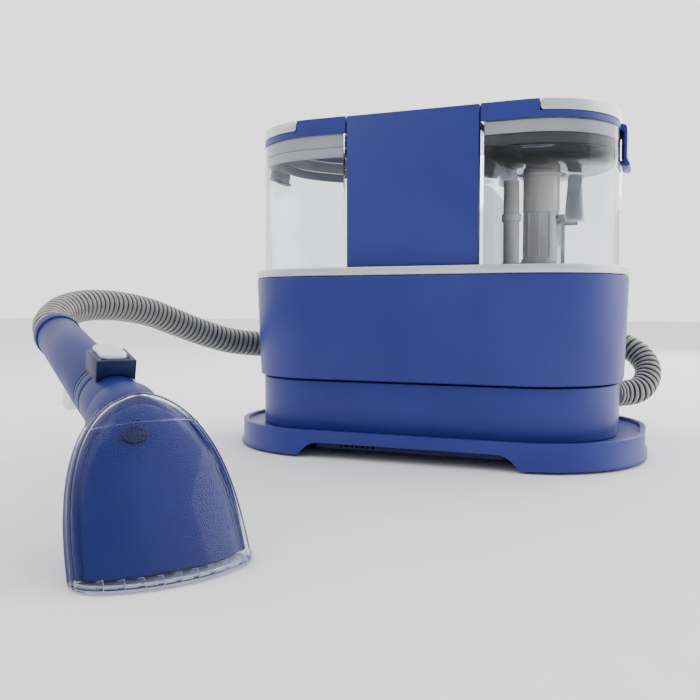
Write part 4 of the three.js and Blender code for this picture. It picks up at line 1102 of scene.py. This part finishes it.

# The hose is soft vinyl wound over a spiral: light grey ridges, and near-black grooves that are painted
# shade, under a faint mottle of dust.
vinyl, vinyl_shader, vinyl_place = surface("ribbed_grey_vinyl", 0.45)
turns = node(vinyl, "ShaderNodeUVMap", {"uv_map": "turns"})
parts = node(vinyl, "ShaderNodeSeparateXYZ", links={"Vector": turns.outputs["UV"]})
phase = node(vinyl, "ShaderNodeMath", {"operation": "MULTIPLY", 1: 2 * math.pi}, {0: parts.outputs["X"]})
wave = node(vinyl, "ShaderNodeMath", {"operation": "COSINE"}, {0: phase.outputs["Value"]})
# The groove's near-black is painted shade; the ridge's light grey is the vinyl's own colour.
ridge_and_groove_shade = two_tone(vinyl, wave.outputs["Value"], "#8f8f8d", "#0c0c0d", 0.1, 0.62)
dust = node(vinyl, "ShaderNodeTexNoise", {"Scale": per_mm(9), "Detail": 4.0}, {"Vector": vinyl_place})
dusty_and_groove_shade = node(vinyl, "ShaderNodeMix", {"data_type": "RGBA", "blend_type": "MULTIPLY", "Factor": 0.25})
vinyl.node_tree.links.new(ridge_and_groove_shade, dusty_and_groove_shade.inputs["A"])
vinyl.node_tree.links.new(two_tone(vinyl, dust.outputs["Fac"], "#c9c9c6", "#ffffff"), dusty_and_groove_shade.inputs["B"])
join(vinyl, dusty_and_groove_shade.outputs["Result"], vinyl_shader, "Base Color")
pitting = {"Strength": 0.15, "Distance": 0.1 * MM}
skin = node(vinyl, "ShaderNodeBump", pitting, {"Height": dust.outputs["Fac"]})
join(vinyl, skin.outputs["Normal"], vinyl_shader, "Normal")
materials["hose_vinyl"] = vinyl
print("finishes:", len(materials))

# %% [markdown]
# Two parts deep inside have finishes of their own. The motor's rotor is wound with enamelled copper wire,
# drawn as fine rings, and the circuit board is green laminate with a grid of pale tracks.

# %% Copper windings and circuit board
copper, copper_shader, copper_place = surface("enamelled_copper_wire", 0.35, 1.0)
rings = node(
    copper,
    "ShaderNodeTexWave",
    {"bands_direction": "Z", "Scale": per_mm(8), "Distortion": 0.4},
    {"Vector": copper_place},
)
join(copper, two_tone(copper, rings.outputs["Fac"], "#7a3f1c", "#c47a44"), copper_shader, "Base Color")
winding = {"Strength": 0.5, "Distance": 0.3 * MM}
wire = node(copper, "ShaderNodeBump", winding, {"Height": rings.outputs["Fac"]})
join(copper, wire.outputs["Normal"], copper_shader, "Normal")
materials["copper_windings"] = copper

laminate, laminate_shader, laminate_place = surface("green_circuit_laminate", 0.4)
tracks = node(
    laminate,
    "ShaderNodeTexBrick",
    {"Scale": per_mm(12), "Mortar Size": 0.03, "Color1": linear("#17522f"), "Color2": linear("#1c6238")},
    {"Vector": laminate_place},
)
tracks.inputs["Mortar"].default_value = linear("#5d8f63")
join(laminate, tracks.outputs["Color"], laminate_shader, "Base Color")
materials["circuit_laminate"] = laminate

slot_of = {part["node"]: part["material_slot"] for part in frame["record"]["subparts"]}
for name in frame["nodes"]:
    part = bpy.data.objects[name]
    part.data.materials.clear()
    part.data.materials.append(materials[slot_of[name]])
hose.data.materials.append(materials["hose_vinyl"])
for piece in made:
    piece.data.materials.clear()
    piece.data.materials.append(materials[slot_by_piece[piece.name]])
print("pieces with a finish:", len(made) + 1)

# %% [markdown]
# The stage is a plain pale floor under soft studio light: one wide lamp high on the left, one low on the
# right and behind, one straight behind that lights the clear tanks from within, and a bright world that fills
# the shadows.

# %% Floor and lights
bpy.ops.object.select_all(action="DESELECT")
bpy.ops.mesh.primitive_plane_add(size=14, location=at(0, 0, -0.3))
floor = settle("floor")
paper, paper_shader, paper_place = surface("pale_paper", 0.9)
fibre = node(paper, "ShaderNodeTexNoise", {"Scale": per_mm(30), "Detail": 3.0}, {"Vector": paper_place})
join(paper, two_tone(paper, fibre.outputs["Fac"], "#f2f2f3", "#f5f5f6"), paper_shader, "Base Color")
floor.data.materials.append(paper)


def lamp(name, place, target, size, power):
    light = bpy.data.lights.new(name, "AREA")
    light.shape = "SQUARE"
    light.size = size
    light.energy = power
    holder = bpy.data.objects.new(name, light)
    bpy.context.collection.objects.link(holder)
    holder.location = at(*place)
    heading = at(*target) - at(*place)
    holder.rotation_euler = heading.to_track_quat("-Z", "Y").to_euler()


lamp("key_light", (-1100, -900, 1500), (0, 0, 120), 1.8, 11)
lamp("fill_light", (1650, 650, 600), (0, 0, 150), 1.6, 13)
lamp("back_light", (300, 1300, 1100), (0, 0, 180), 1.6, 22)
world = bpy.data.worlds.new("studio")
bpy.context.scene.world = world
world.use_nodes = True
heading = node(world, "ShaderNodeTexCoord").outputs["Generated"]
depth = node(world, "ShaderNodeSeparateXYZ", links={"Vector": heading}).outputs["Y"]
glow = node(
    world,
    "ShaderNodeMapRange",
    {"From Min": -0.7, "From Max": 0.35, "To Min": 0.8, "To Max": 2.0},
    {"Value": depth},
)
backdrop = world.node_tree.nodes["Background"]
backdrop.inputs["Color"].default_value = (1, 1, 1, 1)
world.node_tree.links.new(glow.outputs["Result"], backdrop.inputs["Strength"])
